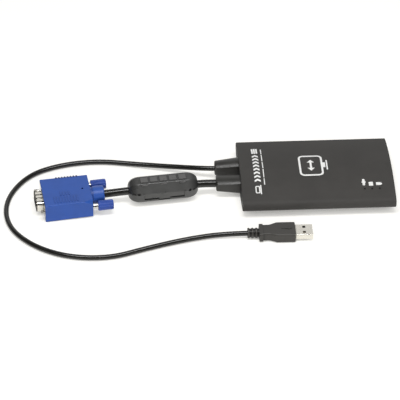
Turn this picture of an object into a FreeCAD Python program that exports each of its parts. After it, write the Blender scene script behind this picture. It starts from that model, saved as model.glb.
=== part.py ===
import FreeCAD, Part
import math
import os

# All lengths are millimetres and all angles are degrees.
# The origin lies under the middle of the case: +X runs to the port end, +Y to the far side, +Z up.

# Case: an extruded oval sleeve closed by two inset end plates
case_length = 115.0
case_width = 78.0
case_height = 18.0
case_side_radius = 4.5
case_wall = 1.7
case_edge = 0.3
underside_cut = 0.9
plate_thickness = 2.4
plate_gap = 0.12
channel_radius = 3.0
channel_web = 1.2
rail_depth = 1.4
rail_thickness = 1.0

# End plate screws
screw_radius = 1.25
screw_head_radius = 2.3
screw_head_height = 1.3
screw_length = 9.0
screw_gap = 0.12
screw_slot_width = 0.7
screw_slot_depth = 0.6

# Circuit board and the parts on it
board_height = 5.2
board_thickness = 1.6
board_gap = 0.15
board_setback = 7.5
converter_chip = (14.0, 14.0, 1.4)
memory_chip = (12.0, 8.0, 1.1)
hub_chip = (7.0, 7.0, 0.9)
converter_from_end = 57.5
converter_side = 4.0
memory_from_end = 39.5
memory_side = 6.0
hub_from_end = 27.5
hub_side = -8.0
chip_lead = 0.5
lamp_size = (1.6, 0.8, 0.7)
lamp_count = 3
lamp_pitch = 5.6
lamp_from_end = 11.6
lamp_from_side = 12.2
guide_radius = 0.8
guide_gap = 0.12
guide_bar_overhang = 2.4
guide_bar_width = 2.2
guide_bar_thickness = 1.2

# Link socket in the port end
socket_width = 7.7
socket_height = 3.95
socket_length = 9.2
socket_wall = 0.35
socket_foot_width = 5.9
socket_shoulder = 0.42
socket_waist = 0.25
socket_tongue_level = 0.62
socket_fit = 0.25
socket_contacts = 5
socket_contact_pitch = 0.8
tongue_width = 4.8
tongue_thickness = 0.9

# Cable boots in the cable end
boot_length = 18.2
boot_base_width = 13.2
boot_base_height = 12.9
boot_end_width = 10.9
boot_end_height = 9.9
boot_corner = 3.2
boot_neck = 8.6
boot_flange = 11.6
boot_flange_thickness = 1.8
boot_fit = 0.1
data_boot_side = 10.3
video_boot_side = -7.5

# Cables and the wires inside the case
data_cable_diameter = 3.9
video_cable_diameter = 6.0
cable_fit = 0.08
cable_tail = 6.0
wire_diameter = 0.6
wire_pitch = 0.8
header_length = 5.0
header_height = 4.6
header_rim = 1.0

# Video plug: its own frame has +X to the cable and lies on the floor
video_plug_x = -188.4
video_plug_y = -18.6
video_plug_yaw = 7.1
video_cable_seat = 16.4
hood_length = 36.0
hood_width = 32.3
hood_height = 15.4
hood_rise = 0.9
hood_edge = 0.6
grip_count = 8
grip_pitch = 2.2
grip_centre = 2.2
grip_width = 1.1
grip_relief = 0.55
grip_root = 1.4
grip_height = 1.8
grip_drop = 0.35
mark_row_sides = (-9.8, -3.2)
mark_row_counts = (9, 4)
mark_centre = -1.6
mark_pitch = 2.1
mark_width = 0.7
mark_row_lengths = (7.6, 4.4)
mark_relief = 0.35
dimple_u = 12.2
dimple_v = 0.4
dimple_radius = 0.8
dimple_depth = 2.0
scoop_length = 7.0
scoop_depth = 3.0
collar_length = 10.2
collar_radius = 6.9
collar_edge = 0.8
collar_groove = 0.6
flange_width = 29.8
flange_height = 12.3
flange_thickness = 1.0
flange_corner = 1.5
flange_fit = 0.1
shell_reach = 5.6
shell_width = 17.9
shell_height = 9.3
shell_wall = 0.5
shell_slope = 10.0
shell_corner = 2.4
dent_count = 4
dent_pitch = 4.1
dent_length = 2.4
dent_radius = 1.05
dent_depth = 0.75
pin_columns = 5
pin_pitch = 2.29
pin_row_pitch = 1.98
pin_radius = 0.4
pin_length = 4.6
insulator_gap = 0.08
insulator_depth = 6.0

# Thumbscrews of the video plug
screw_spacing = 24.99
shank_radius = 2.2
shank_clearance = 0.3
relief_radius = 1.1
thread_radius = 1.42
thread_length = 2.6
flange_hole_radius = 1.6
captive_gap = 0.4
far_screw_push = 1.9
shank_seat = 9.0
knob_radius = 3.8
knob_length = 11.6
knob_gap = 3.9
knob_flutes = 12
knob_flute_radius = 0.55
knob_edge = 0.5
knob_slot_width = 1.1
knob_slot_depth = 1.4
knob_grip = 6.0
knob_fit = 0.05

# Clip-on ferrite round the video cable
ferrite_length = 52.5
ferrite_across = 19.0
ferrite_corner = 1.3
ferrite_dome = 8.5
ferrite_dome_end = 0.36
ferrite_dome_stations = (0.0, 0.45, 0.75, 0.93, 1.0)
ferrite_roll = 15.0
ferrite_level = 9.95
ferrite_from_corner = 28.1
ferrite_seam = 0.2
ferrite_play = 0.25
core_radius = 6.4
core_length = 36.0
cable_play = 0.55
flap_half_length = 15.0
flap_tip_skin = 0.75
flap_root = 1.4
flap_reach = 6.2
flap_tongue_half = 4.0
flap_side_rise = 1.5
flap_slot = 1.0
key_radius = 1.1
key_depth = 1.8
key_inset = 7.0
end_slot_length = 2.3
end_slot_height = 1.0
end_slot_depth = 2.4
end_slot_inset = 3.6
tile_count = 5
tile_pitch = 7.2
tile_length = 5.4
tile_width = 5.0
tile_relief = 0.35
tile_root = 1.4
lug_count = 3
lug_pitch = 14.4
lug_length = 4.2
lug_width = 0.9
lug_drop = 1.2
lug_relief = 0.3
lug_root = 1.2
hinge_radius = 0.9
hinge_clearance = 0.3
hinge_half_length = 14.0
hinge_middle_half = 5.5

# Data plug: its own frame starts at the front of the overmould, +X to the metal shell
data_plug_x = -20.3
data_plug_y = -60.9
data_plug_yaw = -0.5
grip_block_length = 12.8
grip_block_width = 15.8
grip_block_height = 7.8
grip_block_corner = 1.6
neck_width = 11.6
neck_height = 7.0
taper_length = 7.4
taper_steps = 5
neck_length = 3.8
collar_plate_width = 13.6
collar_plate_height = 7.4
collar_plate_length = 2.8
relief_length = 8.6
relief_core_radius = 3.3
relief_ring_radius = 3.85
relief_rings = 3
relief_ring_length = 1.5
data_shell_width = 12.0
data_shell_height = 4.5
data_shell_reach = 12.8
data_shell_wall = 0.3
data_shell_root = 4.0
data_shell_corner = 0.5
window_size = 2.2
window_side = 2.9
window_from_front = 6.3
data_tongue_height = 1.9
data_tongue_gap = 0.1
data_tongue_setback = 0.6
contact_offsets = (-3.5, -1.0, 1.0, 3.5)
contact_width = 1.0
contact_length = 7.6
contact_relief = 0.12

# Places worked out from the sizes above
case_end = case_length / 2
case_mid = case_height / 2
half_width = case_width / 2
board_top = board_height + board_thickness
lamp_row = lamp_from_side - half_width
lamp_positions = [case_end - lamp_from_end - i * lamp_pitch for i in range(lamp_count)]
channel_side = half_width - case_wall - channel_web - channel_radius
board_half_width = channel_side - channel_radius - 2 * board_gap
cable_start_x = -case_end + cable_tail
header_front = -case_end + board_setback + header_rim
data_radius = data_cable_diameter / 2
video_radius = video_cable_diameter / 2
hood_half = hood_length / 2
hood_axis = hood_height / 2
flange_front = -hood_half
data_axis = grip_block_height / 2
data_plug_rear = grip_block_length + taper_length + neck_length + collar_plate_length + relief_length
ferrite_vertex = ferrite_across / 2 / math.cos(math.radians(22.5))
ferrite_facet = ferrite_across * math.tan(math.radians(22.5))
video_seat_x = video_plug_x + video_cable_seat * math.cos(math.radians(video_plug_yaw))
video_seat_y = video_plug_y + video_cable_seat * math.sin(math.radians(video_plug_yaw))

# Cable routes: corner points of the centre lines, from inside the case to inside the plug
level_run = [(-88.0, -8.3, ferrite_level), (-143.5, -14.5, ferrite_level)]
video_route = [
    (cable_start_x, video_boot_side, case_mid),
    (-76.0, video_boot_side, case_mid),
    level_run[0],
    level_run[1],
    (video_seat_x, video_seat_y, hood_axis),
]
data_route = [
    (cable_start_x, data_boot_side, case_mid),
    (-78.0, data_boot_side, case_mid),
    (-107.0, 19.7, 4.5),
    (-136.0, 27.5, data_radius),
    (-164.0, 32.5, data_radius),
    (-194.0, 28.5, data_radius),
    (-218.0, 16.5, data_radius),
    (-234.0, -11.5, data_radius),
    (-233.0, -41.5, data_radius),
    (-215.5, -65.0, data_radius),
    (-189.0, -79.5, data_radius),
    (-158.0, -82.0, data_radius),
    (-131.5, -72.5, data_radius),
    (-102.0, -63.5, data_radius),
    (-73.0, -59.4, 2.4),
    (data_plug_x - data_plug_rear + cable_tail, data_plug_y, data_axis),
]

Vec = FreeCAD.Vector
ALONG = Vec(1, 0, 0)
ACROSS = Vec(0, 1, 0)
UP = Vec(0, 0, 1)


def block(x0, x1, y0, y1, z0, z1):
    return Part.makeBox(x1 - x0, y1 - y0, z1 - z0, Vec(x0, y0, z0))


def centred_block(size, x, y, z):
    """A block standing on height z with its middle at x, y."""
    return Part.makeBox(size[0], size[1], size[2], Vec(x - size[0] / 2, y - size[1] / 2, z))


def rod(x0, x1, y, z, radius):
    """A round bar along X."""
    return Part.makeCylinder(radius, x1 - x0, Vec(x0, y, z), ALONG)


def post(x, y, z0, z1, radius):
    """A round bar along Z."""
    return Part.makeCylinder(radius, z1 - z0, Vec(x, y, z0), UP)


def joined(shapes):
    whole = shapes[0].multiFuse(shapes[1:])
    return whole.removeSplitter()


def capsule(length, centre, radius):
    """A round bar along X with ball ends, its straight part this long."""
    start = centre - ALONG * (length / 2)
    end = centre + ALONG * (length / 2)
    balls = [Part.makeSphere(radius, place) for place in (start, end)]
    return joined([rod(start.x, end.x, centre.y, centre.z, radius)] + balls)


def rounded_wire(points, radius):
    """A closed wire through the points with every corner rounded."""
    count = len(points)
    arcs = []
    for i in range(count):
        here = points[i]
        back = (points[i - 1] - here).normalize()
        ahead = (points[(i + 1) % count] - here).normalize()
        half_angle = back.getAngle(ahead) / 2
        run = radius / math.tan(half_angle)
        middle = (back + ahead).normalize()
        centre = here + middle * (radius / math.sin(half_angle))
        arcs.append((here + back * run, centre - middle * radius, here + ahead * run))
    edges = []
    for i in range(count):
        start, top, end = arcs[i]
        edges.append(Part.Arc(start, top, end).toShape())
        edges.append(Part.LineSegment(end, arcs[(i + 1) % count][0]).toShape())
    return Part.Wire(edges)


def rectangle_wire(x, y, z, width, height, corner):
    """A rounded rectangle standing across X, centred on y, z."""
    half_w = width / 2
    half_h = height / 2
    points = [
        Vec(x, y - half_w, z - half_h),
        Vec(x, y + half_w, z - half_h),
        Vec(x, y + half_w, z + half_h),
        Vec(x, y - half_w, z + half_h),
    ]
    return rounded_wire(points, corner)


def bar(x0, x1, y, z, width, height, corner):
    """A rounded rectangular bar along X."""
    face = Part.Face(rectangle_wire(x0, y, z, width, height, corner))
    return face.extrude(Vec(x1 - x0, 0, 0))


def placed(shape, x, y, z, yaw, roll=0.0):
    """The shape turned by roll about its own X, then by yaw about Z, then moved."""
    moved = shape.copy()
    turn = FreeCAD.Rotation(UP, yaw).multiply(FreeCAD.Rotation(ALONG, roll))
    moved.Placement = FreeCAD.Placement(Vec(x, y, z), turn)
    return moved


def unplaced(shape, x, y, z, yaw, roll=0.0):
    """The shape seen from a plug's own frame: the reverse of placed."""
    moved = shape.copy()
    turn = FreeCAD.Rotation(UP, yaw).multiply(FreeCAD.Rotation(ALONG, roll))
    moved.Placement = FreeCAD.Placement(Vec(x, y, z), turn).inverse()
    return moved


def route_corners(route):
    """Each inner corner's arc: start, top, end and radius, 0.45 of the shorter run used up by it."""
    corners = []
    for i in range(1, len(route) - 1):
        here = Vec(*route[i])
        back = Vec(*route[i - 1]) - here
        ahead = Vec(*route[i + 1]) - here
        reach = 0.45 * min(back.Length, ahead.Length)
        back.normalize()
        ahead.normalize()
        half_angle = back.getAngle(ahead) / 2
        radius = reach * math.tan(half_angle)
        middle = (back + ahead).normalize()
        top = here + middle * (radius / math.sin(half_angle) - radius)
        corners.append((here + back * reach, top, here + ahead * reach, radius))
    return corners


def cable_tube(route, radius):
    """A round tube along straight runs joined by tangent arcs."""
    edges = []
    place = Vec(*route[0])
    for start, top, end, bend in route_corners(route):
        edges.append(Part.LineSegment(place, start).toShape())
        edges.append(Part.Arc(start, top, end).toShape())
        place = end
    edges.append(Part.LineSegment(place, Vec(*route[-1])).toShape())
    path = Part.Wire(edges)
    heading = (Vec(*route[1]) - Vec(*route[0])).normalize()
    ring = Part.Wire(Part.makeCircle(radius, Vec(*route[0]), heading))
    return path.makePipeShell([ring], True, False)


def route_length(route):
    """Length of the centre line with its corner arcs."""
    length = 0.0
    place = Vec(*route[0])
    for start, top, end, bend in route_corners(route):
        length += (start - place).Length
        length += Part.Arc(start, top, end).length()
        place = end
    return length + (Vec(*route[-1]) - place).Length


def crown_radius(depth):
    """Radius of the wide arc that is tangent to both side arcs and stands this far from mid-height."""
    reach = half_width - case_side_radius
    return (reach ** 2 + depth ** 2 - case_side_radius ** 2) / (2 * (depth - case_side_radius))


def lens_wire(inset, x):
    """The case section, or the section this far inside it, across X."""
    top_radius = crown_radius(case_mid)
    low_radius = crown_radius(case_mid + underside_cut)
    top_centre = Vec(x, 0, case_height - top_radius)
    low_centre = Vec(x, 0, low_radius - underside_cut)
    side = case_side_radius - inset
    right = Vec(x, half_width - case_side_radius, case_mid)
    up = (right - top_centre).normalize()
    down = (right - low_centre).normalize()
    flat = math.sqrt((low_radius - inset) ** 2 - (low_radius - underside_cut - inset) ** 2)
    flat_edge = Vec(x, flat, inset)
    belly = ((flat_edge - low_centre).normalize() + down).normalize()
    halves = []
    for sign in (1, -1):
        points = [
            right + up * side,
            right + ACROSS * side,
            right + down * side,
            low_centre + belly * (low_radius - inset),
            flat_edge,
        ]
        halves.append([Vec(p.x, sign * p.y, p.z) for p in points])
    r, l = halves
    crown = Vec(x, 0, case_height - inset)
    edges = [
        Part.Arc(l[0], crown, r[0]).toShape(),
        Part.Arc(r[0], r[1], r[2]).toShape(),
        Part.Arc(r[2], r[3], r[4]).toShape(),
        Part.LineSegment(r[4], l[4]).toShape(),
        Part.Arc(l[4], l[3], l[2]).toShape(),
        Part.Arc(l[2], l[1], l[0]).toShape(),
    ]
    return Part.Wire(edges)


def lens_bar(inset, x0, x1):
    return Part.Face(lens_wire(inset, x0)).extrude(Vec(x1 - x0, 0, 0))


def make_sleeve():
    """The oval sleeve with its screw channels, board rails and lamp holes."""
    inner_end = case_end - plate_thickness
    outside = lens_bar(0, -case_end, case_end)
    rims = [e for e in outside.Edges if abs(abs(e.CenterOfMass.x) - case_end) < case_edge]
    shell = outside.makeChamfer(case_edge, rims).cut(lens_bar(case_wall, -case_end, case_end))
    solid_bar = lens_bar(case_wall / 2, -inner_end, inner_end)
    ribs = []
    for sign in (1, -1):
        side = sign * channel_side
        ribs.append(rod(-inner_end, inner_end, side, case_mid, channel_radius))
        web = sorted((side, sign * half_width))
        web_low = case_mid - channel_web
        web_high = case_mid + channel_web
        ribs.append(block(-inner_end, inner_end, web[0], web[1], web_low, web_high))
        edge = sign * board_half_width
        upper = sorted((edge - sign * rail_depth, side))
        low = board_top + board_gap
        ribs.append(block(-inner_end, inner_end, upper[0], upper[1], low, low + rail_thickness))
        lower = sorted((edge - sign * rail_depth, edge))
        ribs.append(block(-inner_end, inner_end, lower[0], lower[1], 0, board_height))
    ribs = [rib.common(solid_bar) for rib in ribs]
    sleeve = joined([shell] + ribs)
    holes = []
    for sign in (1, -1):
        side = sign * channel_side
        holes.append(rod(-case_end, case_end, side, case_mid, screw_radius + screw_gap))
    for x in lamp_positions:
        holes.append(post(x, lamp_row, board_top, case_height, guide_radius + guide_gap))
    return sleeve.cut(Part.makeCompound(holes))


def plate_blank(sign):
    """An end plate flush with the sleeve's end, with two countersunk holes."""
    ends = sorted((sign * case_end, sign * (case_end - plate_thickness)))
    plate = lens_bar(case_wall + plate_gap, ends[0], ends[1])
    for side in (channel_side, -channel_side):
        plate = plate.cut(plate_screw(sign, side, screw_gap))
    return plate


def plate_screw(sign, side, gap=0.0):
    """A countersunk screw, or the room for one when a gap is given."""
    inward = Vec(-sign, 0, 0)
    head_at = Vec(sign * case_end, side, case_mid)
    wide = screw_head_radius + gap
    narrow = screw_radius + gap
    taper = Part.makeCone(wide, narrow, screw_head_height + gap, head_at, inward)
    shank = Part.makeCylinder(narrow, screw_length, head_at, inward)
    screw = joined([taper, shank])
    if gap:
        return screw
    slot_ends = sorted((sign * case_end, sign * (case_end - screw_slot_depth)))
    low = case_mid - screw_slot_width / 2
    high = case_mid + screw_slot_width / 2
    return screw.cut(block(slot_ends[0], slot_ends[1], side - wide, side + wide, low, high))


def make_cable_plate():
    plate = plate_blank(-1)
    opening = boot_neck + 2 * boot_fit
    for side in (data_boot_side, video_boot_side):
        hole = bar(-case_end, -case_end + plate_thickness, side, case_mid, opening, opening, boot_corner)
        plate = plate.cut(hole)
    return plate


def socket_wire(x, grow):
    """Outline of the link socket across X, grown on every side."""
    half = socket_width / 2 + grow
    foot = socket_foot_width / 2 + grow
    low = board_top - grow
    top = board_top + socket_height + grow
    shoulder = board_top + socket_height * socket_shoulder
    waist = board_top + socket_height * socket_waist
    right = [(foot, low), (foot, waist), (half, shoulder), (half, top)]
    points = [Vec(x, y, z) for y, z in right]
    points += [Vec(x, -y, z) for y, z in reversed(right)]
    return Part.makePolygon(points + points[:1])


def socket_bar(grow, x0, x1):
    return Part.Face(socket_wire(x0, grow)).extrude(Vec(x1 - x0, 0, 0))


def make_port_plate():
    opening = socket_bar(socket_fit, case_end - plate_thickness, case_end)
    return plate_blank(1).cut(opening)


def make_socket_shell():
    rear = case_end - socket_length
    hollow = socket_bar(-socket_wall, rear + socket_wall, case_end)
    return socket_bar(0, rear, case_end).cut(hollow)


def make_socket_tongue():
    rear = case_end - socket_length + socket_wall
    middle = board_top + socket_height * socket_tongue_level
    half = tongue_width / 2
    half_t = tongue_thickness / 2
    foot = socket_bar(-socket_wall, rear, rear + 2 * tongue_thickness)
    blade = block(rear, case_end - tongue_thickness, -half, half, middle - half_t, middle + half_t)
    return joined([foot, blade])


def make_socket_contacts():
    rear = case_end - socket_length + socket_wall + 2 * tongue_thickness
    under = board_top + socket_height * socket_tongue_level - tongue_thickness / 2
    strips = []
    for i in range(socket_contacts):
        side = (i - (socket_contacts - 1) / 2) * socket_contact_pitch
        half = socket_contact_pitch / 4
        front = case_end - 2 * tongue_thickness
        strips.append(block(rear, front, side - half, side + half, under - contact_relief, under))
    return Part.makeCompound(strips)


def make_board():
    rear = -case_end + board_setback
    front = case_end - plate_thickness - board_gap
    return block(rear, front, -board_half_width, board_half_width, board_height, board_top)


def leaded_chip(size, x, y):
    """A flat chip body with a thin lead frame step round its foot."""
    frame = (size[0] + 2 * chip_lead, size[1] + 2 * chip_lead, size[2] / 4)
    return joined([centred_block(size, x, y, board_top), centred_block(frame, x, y, board_top)])


def make_lamps():
    return Part.makeCompound([centred_block(lamp_size, x, lamp_row, board_top) for x in lamp_positions])


def make_light_guide():
    """Three clear rods on one bar, flush with the top of the case."""
    foot = board_top + lamp_size[2] + guide_gap
    middle = (lamp_positions[0] + lamp_positions[-1]) / 2
    bar_length = (lamp_count - 1) * lamp_pitch + 2 * guide_bar_overhang
    bar_size = (bar_length, guide_bar_width, guide_bar_thickness)
    pieces = [centred_block(bar_size, middle, lamp_row, foot + guide_bar_thickness)]
    outside = lens_bar(0, -case_end, case_end)
    for x in lamp_positions:
        pieces.append(post(x, lamp_row, foot, case_height, guide_radius).common(outside))
    return joined(pieces)


def wire_count(diameter):
    return int((diameter - wire_diameter) / wire_pitch) + 1


def make_header(side, diameter):
    count = wire_count(diameter)
    size = (header_length, count * wire_pitch + 2 * header_rim, header_height)
    return centred_block(size, header_front + header_length / 2, side, board_top)


def make_wires(side, diameter):
    """Straight wires from the cable's cut end to its header."""
    count = wire_count(diameter)
    wires = []
    for i in range(count):
        y = side + (i - (count - 1) / 2) * wire_pitch
        wires.append(rod(cable_start_x, header_front, y, case_mid, wire_diameter / 2))
    return Part.makeCompound(wires)


def make_boot(side, route, diameter):
    """A tapered boot held in the end plate by a neck and an inner flange."""
    face = -case_end
    tip = face - boot_length
    base = rectangle_wire(face, side, case_mid, boot_base_width, boot_base_height, boot_corner)
    end = rectangle_wire(tip, side, case_mid, boot_end_width, boot_end_height, boot_corner)
    taper = Part.makeLoft([base, end], True, True)
    neck = bar(face, face + plate_thickness, side, case_mid, boot_neck, boot_neck, boot_corner)
    inner = face + plate_thickness
    back = inner + boot_flange_thickness
    flange = bar(inner, back, side, case_mid, boot_flange, boot_flange, boot_corner)
    boot = joined([taper, neck, flange])
    return boot.cut(cable_tube(route, diameter / 2 + cable_fit))


def in_video_plug(shape):
    return placed(shape, video_plug_x, video_plug_y, 0, video_plug_yaw)


def video_cable_room():
    """The video cable's bore as seen from the plug's own frame."""
    tube = cable_tube(video_route, video_radius + cable_fit)
    return unplaced(tube, video_plug_x, video_plug_y, 0, video_plug_yaw)


def d_wire(x, width, height, corner):
    """The D-shaped outline across X, wide side up."""
    lean = height * math.tan(math.radians(shell_slope))
    top = width / 2
    foot = width / 2 - lean
    low = hood_axis - height / 2
    high = hood_axis + height / 2
    points = [Vec(x, -foot, low), Vec(x, foot, low), Vec(x, top, high), Vec(x, -top, high)]
    return rounded_wire(points, corner)


def d_bar(x0, x1, inset):
    """A D-shaped bar along X, this far inside the metal shell's outside."""
    wire = d_wire(x0, shell_width - 2 * inset, shell_height - 2 * inset, shell_corner - inset)
    return Part.Face(wire).extrude(Vec(x1 - x0, 0, 0))


def make_hood_block():
    """The hood's main block, its underside rising to the rear, with finger ribs, marks, dimple and scoops."""
    half = hood_width / 2
    profile = [
        Vec(-hood_half, -half, 0),
        Vec(hood_half, -half, hood_rise),
        Vec(hood_half, -half, hood_height),
        Vec(-hood_half, -half, hood_height),
    ]
    hood = Part.Face(Part.makePolygon(profile + profile[:1])).extrude(ACROSS * hood_width)
    hood = hood.makeFillet(hood_edge, hood.Edges)
    extras = []
    for i in range(grip_count):
        u = grip_centre + (i - (grip_count - 1) / 2) * grip_pitch
        size = (grip_width, grip_root + grip_relief, grip_height)
        low = hood_height - grip_drop - grip_height
        extras.append(centred_block(size, u, half + (grip_relief - grip_root) / 2, low))
    for row, count, length in zip(mark_row_sides, mark_row_counts, mark_row_lengths):
        for i in range(count):
            u = mark_centre + (i - (count - 1) / 2) * mark_pitch
            size = (mark_width, length, hood_axis + mark_relief)
            extras.append(centred_block(size, u, row, hood_axis))
    hood = joined([hood] + extras)
    hood = hood.cut(post(dimple_u, dimple_v, hood_height - dimple_depth, hood_height, dimple_radius))
    tool = scoop_tool(half)
    turned = tool.copy()
    turned.rotate(Vec(0, 0, hood_axis), ALONG, 180)
    return hood.cut(tool).cut(turned)


def scoop_tool(half):
    """A wedge that bevels the top edge beside the near screw more and more towards the rear."""
    start = Vec(hood_half - scoop_length, -half, hood_height)
    corner = Vec(hood_half, -half, hood_height)
    inner = Vec(hood_half, -half + scoop_depth, hood_height)
    lower = Vec(hood_half, -half, hood_height - scoop_depth)
    faces = [
        Part.Face(Part.makePolygon([start, inner, corner, start])),
        Part.Face(Part.makePolygon([start, corner, lower, start])),
        Part.Face(Part.makePolygon([start, lower, inner, start])),
        Part.Face(Part.makePolygon([corner, inner, lower, corner])),
    ]
    return Part.Solid(Part.Shell(faces))


def make_hood():
    """The moulded hood with its cable collar, screw tunnels and connector seat."""
    collar = rod(hood_half - hood_edge, hood_half + collar_length, 0, hood_axis, collar_radius)
    rim = [e for e in collar.Edges if abs(e.CenterOfMass.x - hood_half - collar_length) < 0.01]
    collar = collar.makeFillet(collar_edge, rim)
    groove_start = hood_half + collar_groove
    groove_end = groove_start + 2 * collar_groove
    groove = rod(groove_start, groove_end, 0, hood_axis, collar_radius)
    groove = groove.cut(rod(groove_start, groove_end, 0, hood_axis, collar_radius - collar_groove))
    hood = joined([make_hood_block(), collar.cut(groove)])
    seat_end = flange_front + flange_thickness
    seat_width = flange_width + 2 * flange_fit
    seat_height = flange_height + 2 * flange_fit
    hood = hood.cut(bar(flange_front, seat_end, 0, hood_axis, seat_width, seat_height, flange_corner))
    hood = hood.cut(d_bar(seat_end, seat_end + insulator_depth, shell_wall))
    for sign in (1, -1):
        side = sign * screw_spacing / 2
        neck = flange_front + shank_seat
        hood = hood.cut(rod(flange_front, neck, side, hood_axis, flange_hole_radius))
        hood = hood.cut(rod(neck, hood_half, side, hood_axis, shank_radius + shank_clearance))
    return hood.cut(video_cable_room())


def make_video_shell():
    """The metal flange with its D-shaped skirt and the dents along the skirt's long sides."""
    back = flange_front + flange_thickness
    flange = bar(flange_front, back, 0, hood_axis, flange_width, flange_height, flange_corner)
    skirt = d_bar(flange_front - shell_reach, back, 0)
    shell = joined([flange, skirt])
    shell = shell.cut(d_bar(flange_front - shell_reach, back, shell_wall))
    bumps = []
    dents = []
    for i in range(dent_count):
        side = (i - (dent_count - 1) / 2) * dent_pitch
        for sign in (1, -1):
            height = hood_axis + sign * (shell_height / 2 + dent_radius - dent_depth)
            centre = Vec(flange_front - shell_reach / 2, side, height)
            bumps.append(capsule(dent_length, centre, dent_radius + shell_wall))
            dents.append(capsule(dent_length, centre, dent_radius))
    inside = d_bar(flange_front - shell_reach, flange_front, shell_wall)
    bumps = [bump.common(inside) for bump in bumps]
    shell = joined([shell] + bumps).cut(Part.makeCompound(dents))
    for sign in (1, -1):
        shell = shell.cut(rod(flange_front, back, sign * screw_spacing / 2, hood_axis, flange_hole_radius))
    return shell


def make_insulator():
    front = flange_front - insulator_gap
    return d_bar(front, flange_front + flange_thickness + insulator_depth, shell_wall + insulator_gap)


def make_pins():
    """Three rows of round pins, the middle row half a pitch over."""
    root = flange_front - insulator_gap
    pins = []
    for row in (-1, 0, 1):
        shift = pin_pitch / 4 if row == 0 else -pin_pitch / 4
        for i in range(pin_columns):
            side = (i - (pin_columns - 1) / 2) * pin_pitch + shift
            height = hood_axis + row * pin_row_pitch
            stem = rod(root - pin_length, root, side, height, pin_radius)
            tip = [e for e in stem.Edges if abs(e.CenterOfMass.x - root + pin_length) < 0.01]
            pins.append(stem.makeChamfer(pin_radius / 2, tip))
    return Part.makeCompound(pins)


def make_thumbscrew(side, push):
    """The steel screw: a wide shank, a thin captive neck and a short thread in front of the flange."""
    thread_back = flange_front - captive_gap - push
    shank_front = flange_front + shank_seat + knob_gap - push
    knob_front = hood_half + knob_gap - push
    shank = rod(shank_front, knob_front + knob_grip, side, hood_axis, shank_radius)
    neck = rod(thread_back, shank_front, side, hood_axis, relief_radius)
    thread = rod(thread_back - thread_length, thread_back, side, hood_axis, thread_radius)
    return joined([shank, neck, thread])


def make_knob(side, push):
    """A fluted knob with a slot in its end, moulded on the screw."""
    front = hood_half + knob_gap - push
    back = front + knob_length
    knob = rod(front, back, side, hood_axis, knob_radius)
    rims = [e for e in knob.Edges if len(e.Vertexes) == 1]
    knob = knob.makeChamfer(knob_edge, rims)
    for i in range(knob_flutes):
        angle = 2 * math.pi * i / knob_flutes
        y = side + (knob_radius + knob_flute_radius / 2) * math.cos(angle)
        z = hood_axis + (knob_radius + knob_flute_radius / 2) * math.sin(angle)
        knob = knob.cut(rod(front + knob_edge * 2, back, y, z, knob_flute_radius))
    slot_size = (knob_slot_depth, 2 * knob_radius, knob_slot_width)
    slot_low = hood_axis - knob_slot_width / 2
    knob = knob.cut(centred_block(slot_size, back - knob_slot_depth / 2, side, slot_low))
    return knob.cut(rod(front, front + knob_grip, side, hood_axis, shank_radius + knob_fit))


def ferrite_frame():
    """Centre and yaw of the ferrite: it lies on the video cable's level run."""
    start = Vec(*level_run[0])
    end = Vec(*level_run[1])
    run = (end - start).normalize()
    centre = start + run * ferrite_from_corner
    return centre, math.degrees(math.atan2(-run.y, -run.x))


def on_ferrite(shape):
    centre, yaw = ferrite_frame()
    return placed(shape, centre.x, centre.y, centre.z, yaw, -ferrite_roll)


def octagon_wire(x, scale):
    points = []
    for i in range(8):
        angle = math.radians(45.0 * i)
        reach = ferrite_vertex * scale
        points.append(Vec(x, reach * math.cos(angle), reach * math.sin(angle)))
    return rounded_wire(points, ferrite_corner * scale)


def ferrite_body():
    """The whole outside of the ferrite case: an eight-sided bar with domed ends."""
    panel = ferrite_length / 2 - ferrite_dome
    pieces = [Part.Face(octagon_wire(-panel, 1.0)).extrude(Vec(2 * panel, 0, 0))]
    for sign in (1, -1):
        wires = []
        for part in ferrite_dome_stations:
            scale = ferrite_dome_end + (1 - ferrite_dome_end) * math.sqrt(1 - part ** 2)
            wires.append(octagon_wire(sign * (panel + ferrite_dome * part), scale))
        pieces.append(Part.makeLoft(wires, True, False))
    return joined(pieces)


def facet_turned(shape, corners=0.5):
    """Turned about the ferrite's axis by half a corner, from square-on to facet-on, or by more corners."""
    turned = shape.copy()
    turned.rotate(Vec(0, 0, 0), ALONG, 45.0 * corners)
    return turned


def latch_radius():
    """Reach from the hinge to the flap's inner face, round about the hinge so that the flap swings free."""
    tip = facet_turned(Part.Vertex(Vec(0, -ferrite_across / 2, ferrite_facet / 2 - flap_reach)))
    return (tip.Point - Vec(0, ferrite_vertex, 0)).Length - flap_tip_skin


def flap_blocks(gap):
    """The latch flap over the lower half's front facet, or the room for it when a gap is given."""
    outer = ferrite_vertex
    slot = flap_slot if gap else 0.0
    low = ferrite_facet / 2 - flap_reach - slot
    sides_low = ferrite_facet / 2 - flap_reach if gap else low + flap_side_rise
    half = flap_half_length + gap
    tongue = flap_tongue_half + gap
    top = ferrite_facet / 2 + flap_root
    sides = block(-half, half, -outer, 0, sides_low, top)
    middle = block(-tongue, tongue, -outer, 0, low, top)
    return facet_turned(joined([sides, middle])).cut(hinge_bar(-half, half, latch_radius() - gap))


def hinge_bar(x0, x1, radius):
    return rod(x0, x1, ferrite_vertex, 0, radius)


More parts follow.
